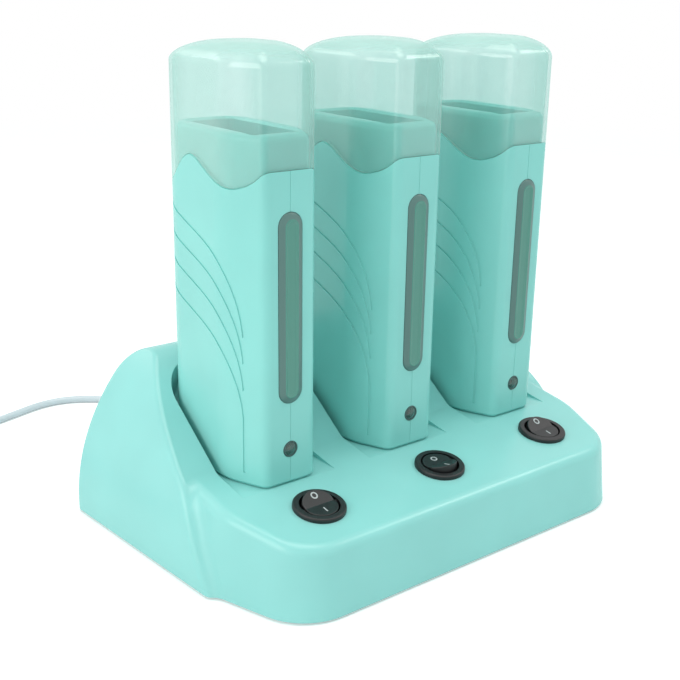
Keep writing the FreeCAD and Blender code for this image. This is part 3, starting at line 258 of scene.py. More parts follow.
# ---- finishes --------------------------------------------------------------------------
@dataclass(frozen=True)
class Finish:
    """A surface finish: what the material is, how it was made, and how it looks.

    Attributes:
        name: the material's name.
        colour: base colour, sRGB hex.
        roughness: spread of the reflection.
        ior: refractive index; metals keep Blender's own.
        metallic: 1 for a metal.
        waviness_mm: size of the slow unevenness of a moulded or drawn surface.
        waviness: how deep that unevenness is, in millimetres.
        grain_mm: size of the fine texture.
        grain: how deep the fine texture is, in millimetres.
        shade: how much the colour drifts lighter and darker over the surface.
        drift_mm: size of that drift's patches.
    """

    name: str
    colour: str
    roughness: float
    ior: float = 1.5
    metallic: float = 0.0
    waviness_mm: float = 9.0
    waviness: float = 0.004
    grain_mm: float = 0.6
    grain: float = 0.002
    shade: float = 0.03
    drift_mm: float = 38.0

    def material(self) -> bpy.types.Material:
        """Makes the material, unless it is there already.

        Returns:
            The one material of this finish.
        """
        made = bpy.data.materials.get(self.name)
        if made is not None:
            return made
        made = bpy.data.materials.new(self.name)
        made.use_nodes = True
        tree = made.node_tree
        tree.nodes.clear()
        add_node(tree, "OutputMaterial", {"Surface": self.surface(tree)})
        return made

    def surface(self, tree: bpy.types.NodeTree) -> Socket:
        """Builds the shader of the finish and gives its output."""
        return self.principled(tree).outputs[0]

    def place(self, tree: bpy.types.NodeTree) -> Socket:
        """Gives the surface point in metres, fixed to the piece."""
        return add_node(tree, "TexCoord").outputs["Object"]

    def relief(self, tree: bpy.types.NodeTree) -> Socket:
        """Builds the slow waviness and the fine texture as one bump.

        Args:
            tree: the material's node tree.

        Returns:
            The bumped normal.
        """
        place = self.place(tree)
        slow = add_node(tree, "TexNoise", {"Vector": place, "Scale": per_metre(self.waviness_mm),
                                           "Detail": 1.0, "Roughness": 0.4})
        fine = add_node(tree, "TexNoise", {"Vector": place, "Scale": per_metre(self.grain_mm),
                                           "Detail": 2.0, "Roughness": 0.55})
        first = add_node(tree, "Bump", {"Strength": 1.0, "Distance": self.waviness * MM,
                                        "Height": slow.outputs[0]})
        return add_node(tree, "Bump", {"Strength": 1.0, "Distance": self.grain * MM,
                                       "Height": fine.outputs[0], "Normal": first.outputs[0]}).outputs[0]

    def tint(self, tree: bpy.types.NodeTree) -> Socket:
        """Builds the colour with its slow drift.

        Args:
            tree: the material's node tree.

        Returns:
            The colour.
        """
        drift = add_node(tree, "TexNoise", {"Vector": self.place(tree), "Scale": per_metre(self.drift_mm),
                                            "Detail": 2.0, "Roughness": 0.5})
        low, high = 1.0 - self.shade, 1.0 + self.shade
        level = add_node(tree, "MapRange", {0: drift.outputs[0], 1: 0.3, 2: 0.7, 3: low, 4: high})
        red, green, blue, _ = linear(self.colour)
        plain = add_node(tree, "CombineXYZ", {0: red, 1: green, 2: blue})
        return add_node(tree, "VectorMath", {0: plain.outputs[0], 3: level.outputs[0]},
                        operation="SCALE").outputs[0]

    def principled(self, tree: bpy.types.NodeTree) -> bpy.types.Node:
        """Builds the Principled shader with colour, roughness and relief.

        Args:
            tree: the material's node tree.

        Returns:
            The shader node.
        """
        settings = {"Base Color": self.tint(tree), "Metallic": self.metallic,
                    "Roughness": self.roughness, "Normal": self.relief(tree)}
        if not self.metallic:
            settings["IOR"] = self.ior
        return add_node(tree, "BsdfPrincipled", settings)


@dataclass(frozen=True)
class GlossyAbs(Finish):
    """ABS, injection moulded in a polished mould: glossy, a little milky, with a faint orange peel.

    Attributes:
        milk: share of the light that goes into the plastic and comes out again nearby.
        milk_depth_mm: how far it goes.
        milk_reach: that reach for red, green and blue; red is taken up first.
    """

    milk: float = 0.12
    milk_depth_mm: float = 1.5
    milk_reach: tuple[float, float, float] = (0.5, 1.0, 0.9)

    def principled(self, tree: bpy.types.NodeTree) -> bpy.types.Node:
        """Adds the slight milkiness of thick pale plastic to the plain shader.

        Args:
            tree: the material's node tree.

        Returns:
            The shader node.
        """
        shader = super().principled(tree)
        shader.inputs["Subsurface Weight"].default_value = self.milk
        shader.inputs["Subsurface Radius"].default_value = self.milk_reach
        shader.inputs["Subsurface Scale"].default_value = self.milk_depth_mm * MM
        return shader


@dataclass(frozen=True)
class ClearPlastic(Finish):
    """A see-through plastic: tinted light straight through, some milky body, and a polished face.

    Attributes:
        clear_tint: colour of the light that passes one face of a wall.
        edge_tint: the same at grazing angles, where the way through the wall is long.
        cover: share of the body that is milky where the surface faces the eye.
        edge_cover: the same at grazing angles.
        polish: roughness of the reflection on the face.
        edge_mirror: share of the reflection at grazing angles; a moulded face is never quite a mirror.
    """

    clear_tint: str = "#FFFFFF"
    edge_tint: str = "#FFFFFF"
    cover: float = 0.1
    edge_cover: float = 0.3
    polish: float = 0.1
    edge_mirror: float = 0.5

    def surface(self, tree: bpy.types.NodeTree) -> Socket:
        """Mixes clear and milky body by angle, and lays the face's reflection over them.

        Args:
            tree: the material's node tree.

        Returns:
            The finished shader.
        """
        facing = add_node(tree, "LayerWeight", {"Blend": 0.5}).outputs["Facing"]
        share = add_node(tree, "MapRange", {0: facing, 1: 0.0, 2: 1.0, 3: self.cover, 4: self.edge_cover})
        depth = add_node(tree, "Math", {0: facing, 1: 2.0}, operation="POWER")
        short = add_node(tree, "BsdfTransparent", {"Color": linear(self.clear_tint)})
        long = add_node(tree, "BsdfTransparent", {"Color": linear(self.edge_tint)})
        clear = add_node(tree, "MixShader", {0: depth.outputs[0], 1: short.outputs[0], 2: long.outputs[0]})
        body = add_node(tree, "MixShader", {0: share.outputs[0], 1: clear.outputs[0],
                                            2: self.principled(tree).outputs[0]})
        grazing = add_node(tree, "Math", {0: facing, 1: 5.0}, operation="POWER")
        normal_share = ((self.ior - 1) / (self.ior + 1)) ** 2
        mirror = add_node(tree, "Math", {0: grazing.outputs[0], 1: self.edge_mirror - normal_share,
                                         2: normal_share}, operation="MULTIPLY_ADD")
        face = add_node(tree, "BsdfAnisotropic", {"Roughness": self.polish, "Normal": self.relief(tree)})
        return add_node(tree, "MixShader", {0: mirror.outputs[0], 1: body.outputs[0],
                                            2: face.outputs[0]}).outputs[0]


class Palette(Enum):
    """The station's finishes, by what each one is on."""

    # glossy moulded ABS: soft broad highlights that roll over the rounded edges
    CASING = GlossyAbs("mint_abs_moulded", "#92D6D1", 0.24)
    # the same plastic in a larger moulding: its wide faces sink a little, which bends the highlights
    BASE = GlossyAbs("mint_abs_moulded_base", "#96D5D2", 0.26, waviness_mm=12.0, waviness=0.005)
    # the hidden bottom cover comes from an eroded mould, so it is matt
    COVER = GlossyAbs("mint_abs_eroded", "#7CC8BF", 0.55, grain_mm=1.1, grain=0.02)
    # natural polypropylene with a little mint pigment, moulded thin: clear enough to show the neck inside
    CAP = ClearPlastic("clear_polypropylene", "#EAF8F5", 0.5, ior=1.49, shade=0.015, clear_tint="#F2FBFA",
                       edge_tint="#C9EEE8", cover=0.07, edge_cover=0.42, polish=0.1, edge_mirror=0.2)
    # smoked polycarbonate: the window's wide bevelled rim is finely textured, so it is grey and satin
    WINDOW_RIM = Finish("smoked_pc_textured", "#567773", 0.3, ior=1.58, grain_mm=0.9, grain=0.01)
    # polished polycarbonate pane: its mostly milky body is painted a dark teal, darker than the casing, as
    # painted shade of the chamber behind it; it mirrors the studio faintly
    WINDOW_PANE = ClearPlastic("polished_pc_pane_painted_chamber_shade", "#459283", 0.3, ior=1.58, clear_tint="#72B8A9",
                               edge_tint="#72B8A9", cover=0.85, edge_cover=0.9, polish=0.1)
    # tinted polycarbonate dome: half clear, so that the lamp is a dim spot behind it
    LENS = ClearPlastic("indicator_pc_polished", "#557F79", 0.3, ior=1.58, clear_tint="#B4D2CC",
                        edge_tint="#B4D2CC", cover=0.4, edge_cover=0.6, polish=0.08)
    # the lens's own moulded edge, thick and so darker: a thin dark ring
    LENS_RING = Finish("indicator_rim_moulded", "#3F5A58", 0.3)
    # cast red epoxy, unlit: a glossy dull red
    LAMP = Finish("red_led_epoxy", "#C23A34", 0.2, ior=1.54)
    # charcoal nylon from a finely eroded mould: satin, with a fine sparkle of grain drawn coarse to show
    SWITCH = Finish("charcoal_nylon_eroded", "#101214", 0.45, ior=1.53, grain_mm=0.7, grain=0.014, shade=0.06)
    ROCKER = Finish("charcoal_nylon_rocker", "#121517", 0.42, ior=1.53, grain_mm=0.7, grain=0.012, shade=0.06)
    # white pad-printing ink: flat, a little greyed by the black below it
    MARK = Finish("white_pad_print", "#B9BCBE", 0.5, grain=0.004)
    # soft PVC cord sheath, extruded: satin, faint lengthwise unevenness
    CORD = Finish("grey_white_pvc_extruded", "#CBD0D7", 0.36, ior=1.54, waviness_mm=16.0, grain_mm=0.8,
                  grain=0.006)
    # the same PVC moulded over the cord's ends: finely textured for grip, so more matt
    PLUG = Finish("grey_white_pvc_moulded", "#D3D8DD", 0.45, ior=1.54, grain_mm=0.9, grain=0.012)
    # polyethylene strip, cut from sheet: plain and waxy
    TIE = Finish("white_pe_tie", "#E8EAEB", 0.5)
    # pressed rubber: nearly black, dull and rough
    RUBBER = Finish("black_rubber_pressed", "#26292A", 0.75, ior=1.52, grain_mm=1.0, grain=0.03, shade=0.1)
    # cold-formed steel, zinc plated and passivated: bright bluish grey with a soft mirror
    STEEL = Finish("zinc_plated_steel", "#B9BDC1", 0.3, metallic=1.0, grain=0.006, shade=0.06)
    # turned brass, nickel plated: a warm, sharper mirror
    NICKEL = Finish("nickel_plated_brass", "#C6C3BB", 0.22, metallic=1.0, grain=0.004, shade=0.04)
    # bare brass strip, stamped: yellow metal
    BRASS = Finish("brass_stamped", "#C9A24F", 0.28, metallic=1.0, grain=0.005, shade=0.06)
    # etched foil between polyimide films: shiny amber brown
    FOIL = Finish("polyimide_heater_foil", "#B5702C", 0.3, ior=1.6, shade=0.08)
    # glass-epoxy board under solder mask: glossy dark green
    BOARD = Finish("green_solder_mask", "#1F6B45", 0.35, shade=0.06)
    # natural nylon, moulded: warm white, satin
    INSULATOR = Finish("white_nylon_moulded", "#E6E6E0", 0.45)
    # PVC-sheathed hook-up wire: mid grey, satin
    WIRE = Finish("grey_pvc_wire", "#8E9499", 0.45, ior=1.54)

    def material(self) -> bpy.types.Material:
        """Gives the Blender material of this finish."""
        return self.value.material()


# ---- heaters ---------------------------------------------------------------------------
HEATER_X = {number: middle_x(f"heater_{number}_cap") for number in HEATERS}


def front_y(z: float) -> float:
    """Gives the y of a heater's front face at a height, both in millimetres."""
    return FRONT_Y + HEATER_TAPER * (z - HEATER_FOOT_Z) / HEATER_HEIGHT


@dataclass
class SightWindow:
    """The long sight window: a textured, bevelled rim round a pane with a polished bead; the pane's dark teal
    is painted shade of the chamber behind it.

    Attributes:
        heater: number of the heater that carries it.
        half_width: half of the opening's width, mm.
        low: lowest point of the opening, mm.
        high: highest point of the opening, mm.
        rim: the rim's section from the opening's edge inwards: (inset, how far it stands out), mm.
        pane: the polished section on from there: a bead, then the flat pane.
    """

    heater: int
    half_width: float = 5.9
    low: float = 75.9
    high: float = 157.2
    rim: tuple[tuple[float, float], ...] = ((0.12, -1.4), (0.12, 0.1), (0.22, 0.3), (0.5, 0.48), (1.5, 0.93),
                                            (2.6, 1.4))
    pane: tuple[tuple[float, float], ...] = ((2.6, 1.4), (2.75, 1.5), (3.2, 1.5), (3.5, 1.35), (3.75, 1.15),
                                             (3.95, 1.08), (4.6, 1.05), (5.85, 1.05))

    def ring(self, inset: float, proud: float) -> Ring:
        """Gives one ring of the section, on the tapered front face."""
        outline = stadium(self.half_width - inset, self.low + inset, self.high - inset, 16)
        return [Vector((HEATER_X[self.heater] + a, front_y(z) - proud, z)) for a, z in outline]

    def build(self) -> None:
        """Builds rim and pane and lets them stand for the CAD window."""
        body = f"heater_{self.heater}"
        rim = loft(f"{body}_window_rim", [self.ring(*s) for s in self.rim], cap_start=False, cap_end=False)
        settle(rim, Palette.WINDOW_RIM.material(), body)
        # the pane's dark teal colour is painted shade of the chamber behind the window
        pane = loft(f"{body}_window_pane", [self.ring(*s) for s in self.pane], cap_start=False)
        settle(pane, Palette.WINDOW_PANE.material(), body, (f"{body}_window",))


@dataclass
class Indicator:
    """The small round indicator: a dark rim, a tinted dome and the red lamp behind it.

    Attributes:
        heater: number of the heater that carries it.
        height: height of its centre, mm.
        rim: the rim's section: (radius, how far it stands out), mm.
        dome: the dome's section.
        lamp_radius: radius of the lamp's round head, mm.
        lamp_depth: how far the lamp's tip is behind the front face, mm.
        lamp_rings: rings of the lamp's round head.
        lamp_sweep: how far round the head they go, degrees; the last ring is filled.
    """

    heater: int
    height: float = 54.9
    rim: tuple[tuple[float, float], ...] = ((3.5, -1.2), (3.5, 0.12), (3.42, 0.25), (3.22, 0.32), (3.0, 0.25),
                                            (2.92, 0.05))
    dome: tuple[tuple[float, float], ...] = ((2.92, 0.05), (2.7, 0.24), (2.2, 0.46), (1.5, 0.64), (0.8, 0.74),
                                             (0.25, 0.77))
    lamp_radius: float = 1.25
    lamp_depth: float = 0.9
    lamp_rings: int = 8
    lamp_sweep: float = 87.5

    def ring(self, radius: float, proud: float) -> Ring:
        """Gives one ring of the section, on the front face."""
        x, y = HEATER_X[self.heater], front_y(self.height) - proud
        return [Vector((x + a, y, self.height + b)) for a, b in circle(radius, 40)]

    def build(self) -> None:
        """Builds rim, dome and lamp and lets them stand for the CAD lens."""
        body = f"heater_{self.heater}"
        rim = loft(f"{body}_indicator_rim", [self.ring(*s) for s in self.rim], cap_start=False, cap_end=False)
        settle(rim, Palette.LENS_RING.material(), body)
        dome = loft(f"{body}_indicator_dome", [self.ring(*s) for s in self.dome], cap_start=False)
        settle(dome, Palette.LENS.material(), body, (f"{body}_indicator_lens",))
        rings = []
        for i in range(self.lamp_rings):
            angle = math.radians(self.lamp_sweep) * i / (self.lamp_rings - 1)
            rings.append(self.ring(self.lamp_radius * math.cos(angle),
                                   -self.lamp_depth - self.lamp_radius * (1 - math.sin(angle))))
        lamp = loft(f"{body}_lamp", rings)
        settle(lamp, Palette.LAMP.material(), body)


@dataclass
class Heater:
    """One hand-held heater with its cap.

    Attributes:
        number: 1 to 3, from left to right.
    """

    number: int

    def build(self) -> None:
        """Dresses the CAD pieces and builds the window and the indicator."""
        name = f"heater_{self.number}_"
        dress(Palette.CASING.material(), name + "left_shell", name + "right_shell", name + "sleeve")
        dress(Palette.CAP.material(), name + "cap")
        dress(Palette.FOIL.material(), name + "heating_strip")
        dress(Palette.STEEL.material(), name + "thermostat", name + "screw")
        dress(Palette.BOARD.material(), name + "indicator_board")
        dress(Palette.INSULATOR.material(), name + "contact_socket")
        dress(Palette.BRASS.material(), name + "contact_pads")
        SightWindow(self.number).build()
        Indicator(self.number).build()


# ---- base and switches -----------------------------------------------------------------
@dataclass
class RockerSwitch:
    """One round rocker switch with its printed O and I.

    Attributes:
        number: 1 to 3, from left to right.
        tilt: slope of the deck, degrees.
        mark_reach: distance of each mark from the rocker's valley, mm.
        ring_radius: middle radius of the O, mm.
        stroke: width of both marks' strokes, mm.
        bar_length: length of the I, mm.
        print_height: thickness of the print, drawn thicker than ink so that it shows, mm.
        bevel: width of the print's sloping edge, mm.
        surface: the rocker's mesh, ready for dropping points onto it.
    """

    number: int
    tilt: float = 8.25
    mark_reach: float = 4.2
    ring_radius: float = 1.3
    stroke: float = 0.62
    bar_length: float = 3.1
    print_height: float = 0.05
    bevel: float = 0.06
    surface: BVHTree | None = field(default=None, repr=False)

    def centre(self) -> Vector:
        """Gives the middle of the switch in millimetres, which is on the rocker's axle."""
        axle = next(joint for joint in frame["joints"] if joint["child"] == f"rocker_{self.number}")
        return Vector(axle["pos_m"]) / MM

    def on_rocker(self, across: float, along: float, lift: float) -> Vector:
        """Drops a point of the switch's own plane onto the rocker.

        Args:
            across: distance to the right of the switch's middle, mm.
            along: distance behind it, up the deck, mm.
            lift: height above the rocker's surface, mm.

        Returns:
            The point in millimetres.
        """
        slope = math.radians(self.tilt)
        up = Vector((0.0, -math.sin(slope), math.cos(slope)))
        back = Vector((0.0, math.cos(slope), math.sin(slope)))
        above = self.centre() + Vector((across, 0, 0)) + back * along + up * DROP_HEIGHT
        hit, normal, _, _ = self.surface.ray_cast(above * MM, -up)
        return hit / MM + normal * lift

    def mark(self, name: str, loops: list[list[tuple[float, float]]], closed: bool) -> None:
        """Builds one printed mark from outlines that run round it.

        Args:
            name: the piece's name.
            loops: outlines (across, along) from its outer edge to its inner edge, or to its middle.
            closed: whether the last outline is filled, as on a solid bar.
        """
        low, high = 0.0, self.print_height
        lifts = [low, *[high] * (len(loops) - 2), high if closed else low]
        rings = [[self.on_rocker(a, b, lift) for a, b in loop] for loop, lift in zip(loops, lifts)]
        piece = loft(name, rings, cap_start=False, cap_end=closed)
        settle(piece, Palette.MARK.material(), f"rocker_{self.number}")

    def build(self) -> None:
        """Dresses housing and rocker, and prints the marks."""
        dress(Palette.SWITCH.material(), f"switch_housing_{self.number}")
        dress(Palette.ROCKER.material(), f"rocker_{self.number}")
        mesh = frame["nodes"][f"rocker_{self.number}"].data
        self.surface = BVHTree.FromPolygons([v.co for v in mesh.vertices],
                                            [p.vertices for p in mesh.polygons])
        half = self.stroke / 2
        ring = [self.ring_radius + offset for offset in (half, half - self.bevel, self.bevel - half, -half)]
        loops = [[(a, b + self.mark_reach) for a, b in circle(radius, 36)] for radius in ring]
        self.mark(f"rocker_{self.number}_mark_off", loops, False)
        bars = [rounded_box(half - inset, self.bar_length / 2 - inset, 8.0, 32) for inset in (0.0, 0.05, 0.2)]
        loops = [[(a, b - self.mark_reach) for a, b in bar] for bar in bars]
        self.mark(f"rocker_{self.number}_mark_on", loops, True)


@dataclass
class Base:
    """The charging base with its switches, docks, cover, feet and inner pieces.

    Attributes:
        switches: the rocker switches in its front deck.
    """

    switches: list[RockerSwitch] = field(default_factory=lambda: [RockerSwitch(n) for n in HEATERS])

    def build(self) -> None:
        """Dresses the CAD pieces and builds the switches."""
        dress(Palette.BASE.material(), "base_top_shell")
        dress(Palette.COVER.material(), "base_bottom_cover")
        dress(Palette.RUBBER.material(), "rubber_feet")
        dress(Palette.STEEL.material(), "base_screws")
        dress(Palette.SWITCH.material(), *[f"dock_block_{n}" for n in HEATERS])
        dress(Palette.BRASS.material(), "dock_pins", "switch_terminals")
        dress(Palette.INSULATOR.material(), "terminal_block")
        dress(Palette.WIRE.material(), "internal_wiring")
        for switch in self.switches:
            switch.build()


# ---- mains cord ------------------------------------------------------------------------
@dataclass
class MainsCord:
    """The mains cord: strain relief, cord, put-away coil with its tie, and plug.

    Attributes:
        diameter: the cord's diameter, mm.
        route: points from the strain relief to the coil, mm.
        coil_centre: middle of the coil on the table, mm.
        windings: how the coil is wound: (turns from its start, radius, height of the centreline), mm.
        turns: number of turns.
        turn_steps: points on each turn.
        start_angle: where the coil's first turn begins, degrees.
        tail: points from the last turn to the plug, mm.
        length: the real length, m; not used.
        relief_foot: the strain relief's section inside the wall: (y, radius), mm.
        relief_start: y where its ribs begin, mm.
        relief_ribs: its ribs outside.
        relief_pitch: distance from rib to rib, mm.
        relief_radii: radius of the first rib and of the last, mm.
        relief_groove: depth between the ribs, mm.
        relief_tip: its section at the cord's end: (y, radius), mm.
        neck_ribs: ribs on the plug's neck.
        neck_pitch: distance from rib to rib, mm.
        plug_shape: the plug's section: (y, half width, half height, squareness), mm.
        tie_shape: half width and half height of the loop that the tie makes, mm.
        tie_strip: half width and half thickness of its strip, mm.
        tie_place: the tie's middle, from the coil's middle on the table, mm.
    """

    diameter: float = 4.0
    route: tuple[tuple[float, float, float], ...] = (
        (-28.0, 100.0, 12.0), (-28.3, 114.0, 11.2), (-29.2, 131.0, 5.6), (-32.0, 151.0, 2.05),
        (-39.0, 173.5, 2.05), (-53.0, 196.0, 2.05), (-79.0, 208.5, 2.05), (-112.0, 198.0, 2.05),
        (-142.0, 190.5, 2.05), (-163.0, 192.0, 2.05))
    coil_centre: tuple[float, float] = (-171.0, 166.0)
    windings: tuple[tuple[float, float, float], ...] = (
        (0.0, 25.6, 2.05), (0.7, 25.6, 2.05), (1.0, 21.6, 2.05), (1.7, 21.6, 2.05), (2.0, 17.6, 2.05),
        (2.4, 17.6, 2.05), (2.7, 17.6, 6.05), (3.1, 17.6, 6.05), (3.4, 21.6, 6.05), (4.1, 21.6, 6.05),
        (4.4, 25.6, 6.05), (4.8, 25.6, 6.05), (5.1, 25.6, 9.95), (5.4, 22.6, 9.95), (6.3, 22.6, 9.6))
    turns: float = 6.21
    turn_steps: int = 16
    start_angle: float = 100.0
    tail: tuple[tuple[float, float, float], ...] = (
        (-195.5, 157.0, 9.4), (-197.0, 148.0, 8.3), (-199.0, 140.0, 7.2), (-200.0, 131.0, 6.9))
    length: float = 1.1
    relief_foot: tuple[tuple[float, float], ...] = (
        (70.2, 3.4), (70.2, 6.4), (72.0, 6.4), (72.1, 4.35), (76.0, 4.35), (78.2, 4.3))
    relief_start: float = 79.0
    relief_ribs: int = 6
    relief_pitch: float = 2.9
    relief_radii: tuple[float, float] = (4.3, 3.25)
    relief_groove: float = 0.75
    relief_tip: tuple[tuple[float, float], ...] = (
        (97.4, 3.0), (99.4, 2.9), (99.85, 2.75), (100.0, 2.5), (100.0, 2.0))
    neck_ribs: int = 5
    neck_pitch: float = 2.6
    plug_shape: tuple[tuple[float, float, float, float], ...] = (
        (117.0, 4.3, 4.2, 2.0), (115.5, 5.6, 4.6, 2.3), (113.0, 7.6, 5.0, 2.8), (108.5, 11.2, 5.6, 3.4),
        (103.5, 15.2, 6.3, 4.2), (100.0, 17.1, 6.7, 5.0), (97.5, 17.6, 6.82, 5.5), (90.0, 17.6, 6.84, 6.0),
        (82.5, 17.6, 6.84, 6.0), (80.6, 17.4, 6.7, 6.0), (80.1, 17.0, 6.3, 6.0), (80.0, 16.2, 5.5, 6.0))
    tie_shape: tuple[float, float] = (6.5, 5.85)
    tie_strip: tuple[float, float] = (2.2, 0.22)
    tie_place: tuple[float, float, float] = (22.0, 0.0, 6.2)

    def winding(self, place: float) -> tuple[float, float]:
        """Gives the coil's centreline at a place along it.

        Args:
            place: turns from the coil's start.

        Returns:
            The radius and the height, in millimetres.
        """
        for (start, low_r, low_z), (end, high_r, high_z) in zip(self.windings, self.windings[1:]):
            if place <= end:
                share = (place - start) / (end - start)
                share = share * share * (3 - 2 * share)
                return low_r + (high_r - low_r) * share, low_z + (high_z - low_z) * share
        return self.windings[-1][1:]

    def coil_points(self) -> list[tuple[float, float, float]]:
        """Works out the coil's turns, each passing smoothly into the next.

        Returns:
            The points of the centreline, in millimetres.
        """
        points = []
        steps = round(self.turns * self.turn_steps)
        for i in range(steps + 1):
            place = self.turns * i / steps
            radius, height = self.winding(place)
            angle = math.radians(self.start_angle) + 2 * math.pi * place
            points.append((self.coil_centre[0] + radius * math.cos(angle),
                           self.coil_centre[1] + radius * math.sin(angle), height))
        return points

    def line(self) -> bpy.types.Object:
        """Builds the cord as one smooth curve from the strain relief to the plug.

        Returns:
            The curve object.
        """
        points = [*self.route, *self.coil_points(), *self.tail]
        curve = bpy.data.curves.new("mains_cord", "CURVE")
        curve.dimensions = "3D"
        spline = curve.splines.new("NURBS")
        spline.points.add(len(points) - 1)
        for point, (x, y, z) in zip(spline.points, points):
            point.co = (x * MM, y * MM, z * MM, 1.0)
        spline.order_u = 3
        spline.use_endpoint_u = True
        spline.resolution_u = 10
        curve.bevel_depth = self.diameter / 2 * MM
        curve.bevel_resolution = 5
        curve.use_fill_caps = True
        cord = bpy.data.objects.new("mains_cord", curve)
        bpy.context.scene.collection.objects.link(cord)
        return cord

    def relief(self) -> bpy.types.Object:
        """Builds the ribbed, tapered strain relief in the rear wall.

        Returns:
            The piece.
        """
        section = list(self.relief_foot)
        first, last = self.relief_radii
        for i in range(self.relief_ribs):
            start = self.relief_start + i * self.relief_pitch
            end = start + self.relief_pitch
            radius = first + (last - first) * i / (self.relief_ribs - 1)
            groove = radius - self.relief_groove
            section += [(start, groove), (start + 0.9, groove), (start + 1.0, radius - 0.1),
                        (start + 1.15, radius), (end - 0.25, radius - 0.08), (end - 0.1, radius - 0.2)]
        section += self.relief_tip
        x, z = self.route[0][0], self.route[0][2]
        rings = [[Vector((x + a, y, z + b)) for a, b in circle(radius, 40)] for y, radius in section]
        piece = loft("strain_relief_ribbed", rings)
        face_outwards(piece)
        keep_edges(piece, 35)
        return settle(piece, Palette.PLUG.material(), "base", ("strain_relief",))

    def tie(self) -> bpy.types.Object:
        """Builds the flat tie that holds the coil together, on its right.

        Returns:
            The piece.
        """
        centre = Vector((*self.coil_centre, 0.0)) + Vector(self.tie_place)
        strip = rounded_box(*self.tie_strip, 3.0, 12)
        rings = []
        for a, b in rounded_box(*self.tie_shape, 4.0, 40):
            outward = Vector((a, 0, b)).normalized()
            middle = centre + Vector((a, 0, b))
            rings.append([middle + Vector((0, w, 0)) + outward * t for w, t in strip])
        piece = loft("coil_tie", rings, closed=True)
        face_outwards(piece)
        return settle(piece, Palette.TIE.material(), "base")

    def plug(self) -> bpy.types.Object:
        """Builds the flat two-pin plug with its ribbed neck.

        Returns:
            The piece.
        """
        x, y_end, z = self.tail[-1]
        section = [(y_end, 2.1, 2.1, 2.0), (y_end - 0.1, 2.8, 2.8, 2.0)]
        for i in range(self.neck_ribs):
            start, radius = y_end - 0.8 - i * self.neck_pitch, 3.0 + 0.26 * i
            for back, offset in ((0.0, 0.0), (1.5, 0.1), (1.65, -0.55), (2.35, -0.5)):
                section.append((start - back, radius + offset, radius + offset, 2.0))
        section += self.plug_shape
        rings = [[Vector((x + a, y, z + b)) for a, b in rounded_box(half_a, half_b, power, 48)]
                 for y, half_a, half_b, power in section]
        piece = loft("plug_moulded", rings)
        face_outwards(piece)
        keep_edges(piece, 40)
        return settle(piece, Palette.PLUG.material(), "base", ("plug_body",))

    def build(self) -> None:
        """Builds the cord with everything on it."""
        relief, tie, plug = self.relief(), self.tie(), self.plug()
        dress(Palette.NICKEL.material(), "plug_pins")
        cord = settle(self.line(), Palette.CORD.material(), "base",
                      ("power_cord", "power_cord_coil", "power_cord_tail"))


# ---- studio and camera -----------------------------------------------------------------
@dataclass
class SoftBox:
    """A large soft lamp.

    Attributes:
        name: the lamp's name.
        place: its middle, m.
        aim: the point that it faces, m.
        size: width and height, m.
        power: watts.
        colour: the light's colour, barely warm against the cooler surroundings.
    """

    name: str
    place: tuple[float, float, float]
    aim: tuple[float, float, float]
    size: tuple[float, float]
    power: float
    colour: str = "#FFF7F4"

    def build(self) -> None:
        """Hangs the lamp and turns it to its aim."""
        lamp = bpy.data.lights.new(self.name, "AREA")
        lamp.shape = "RECTANGLE"
        lamp.size, lamp.size_y = self.size
        lamp.energy = self.power
        lamp.color = linear(self.colour)[:3]
        holder = bpy.data.objects.new(self.name, lamp)
        holder.location = self.place
        holder.rotation_euler = (Vector(self.aim) - Vector(self.place)).to_track_quat("-Z", "Y").to_euler()
        bpy.context.scene.collection.objects.link(holder)


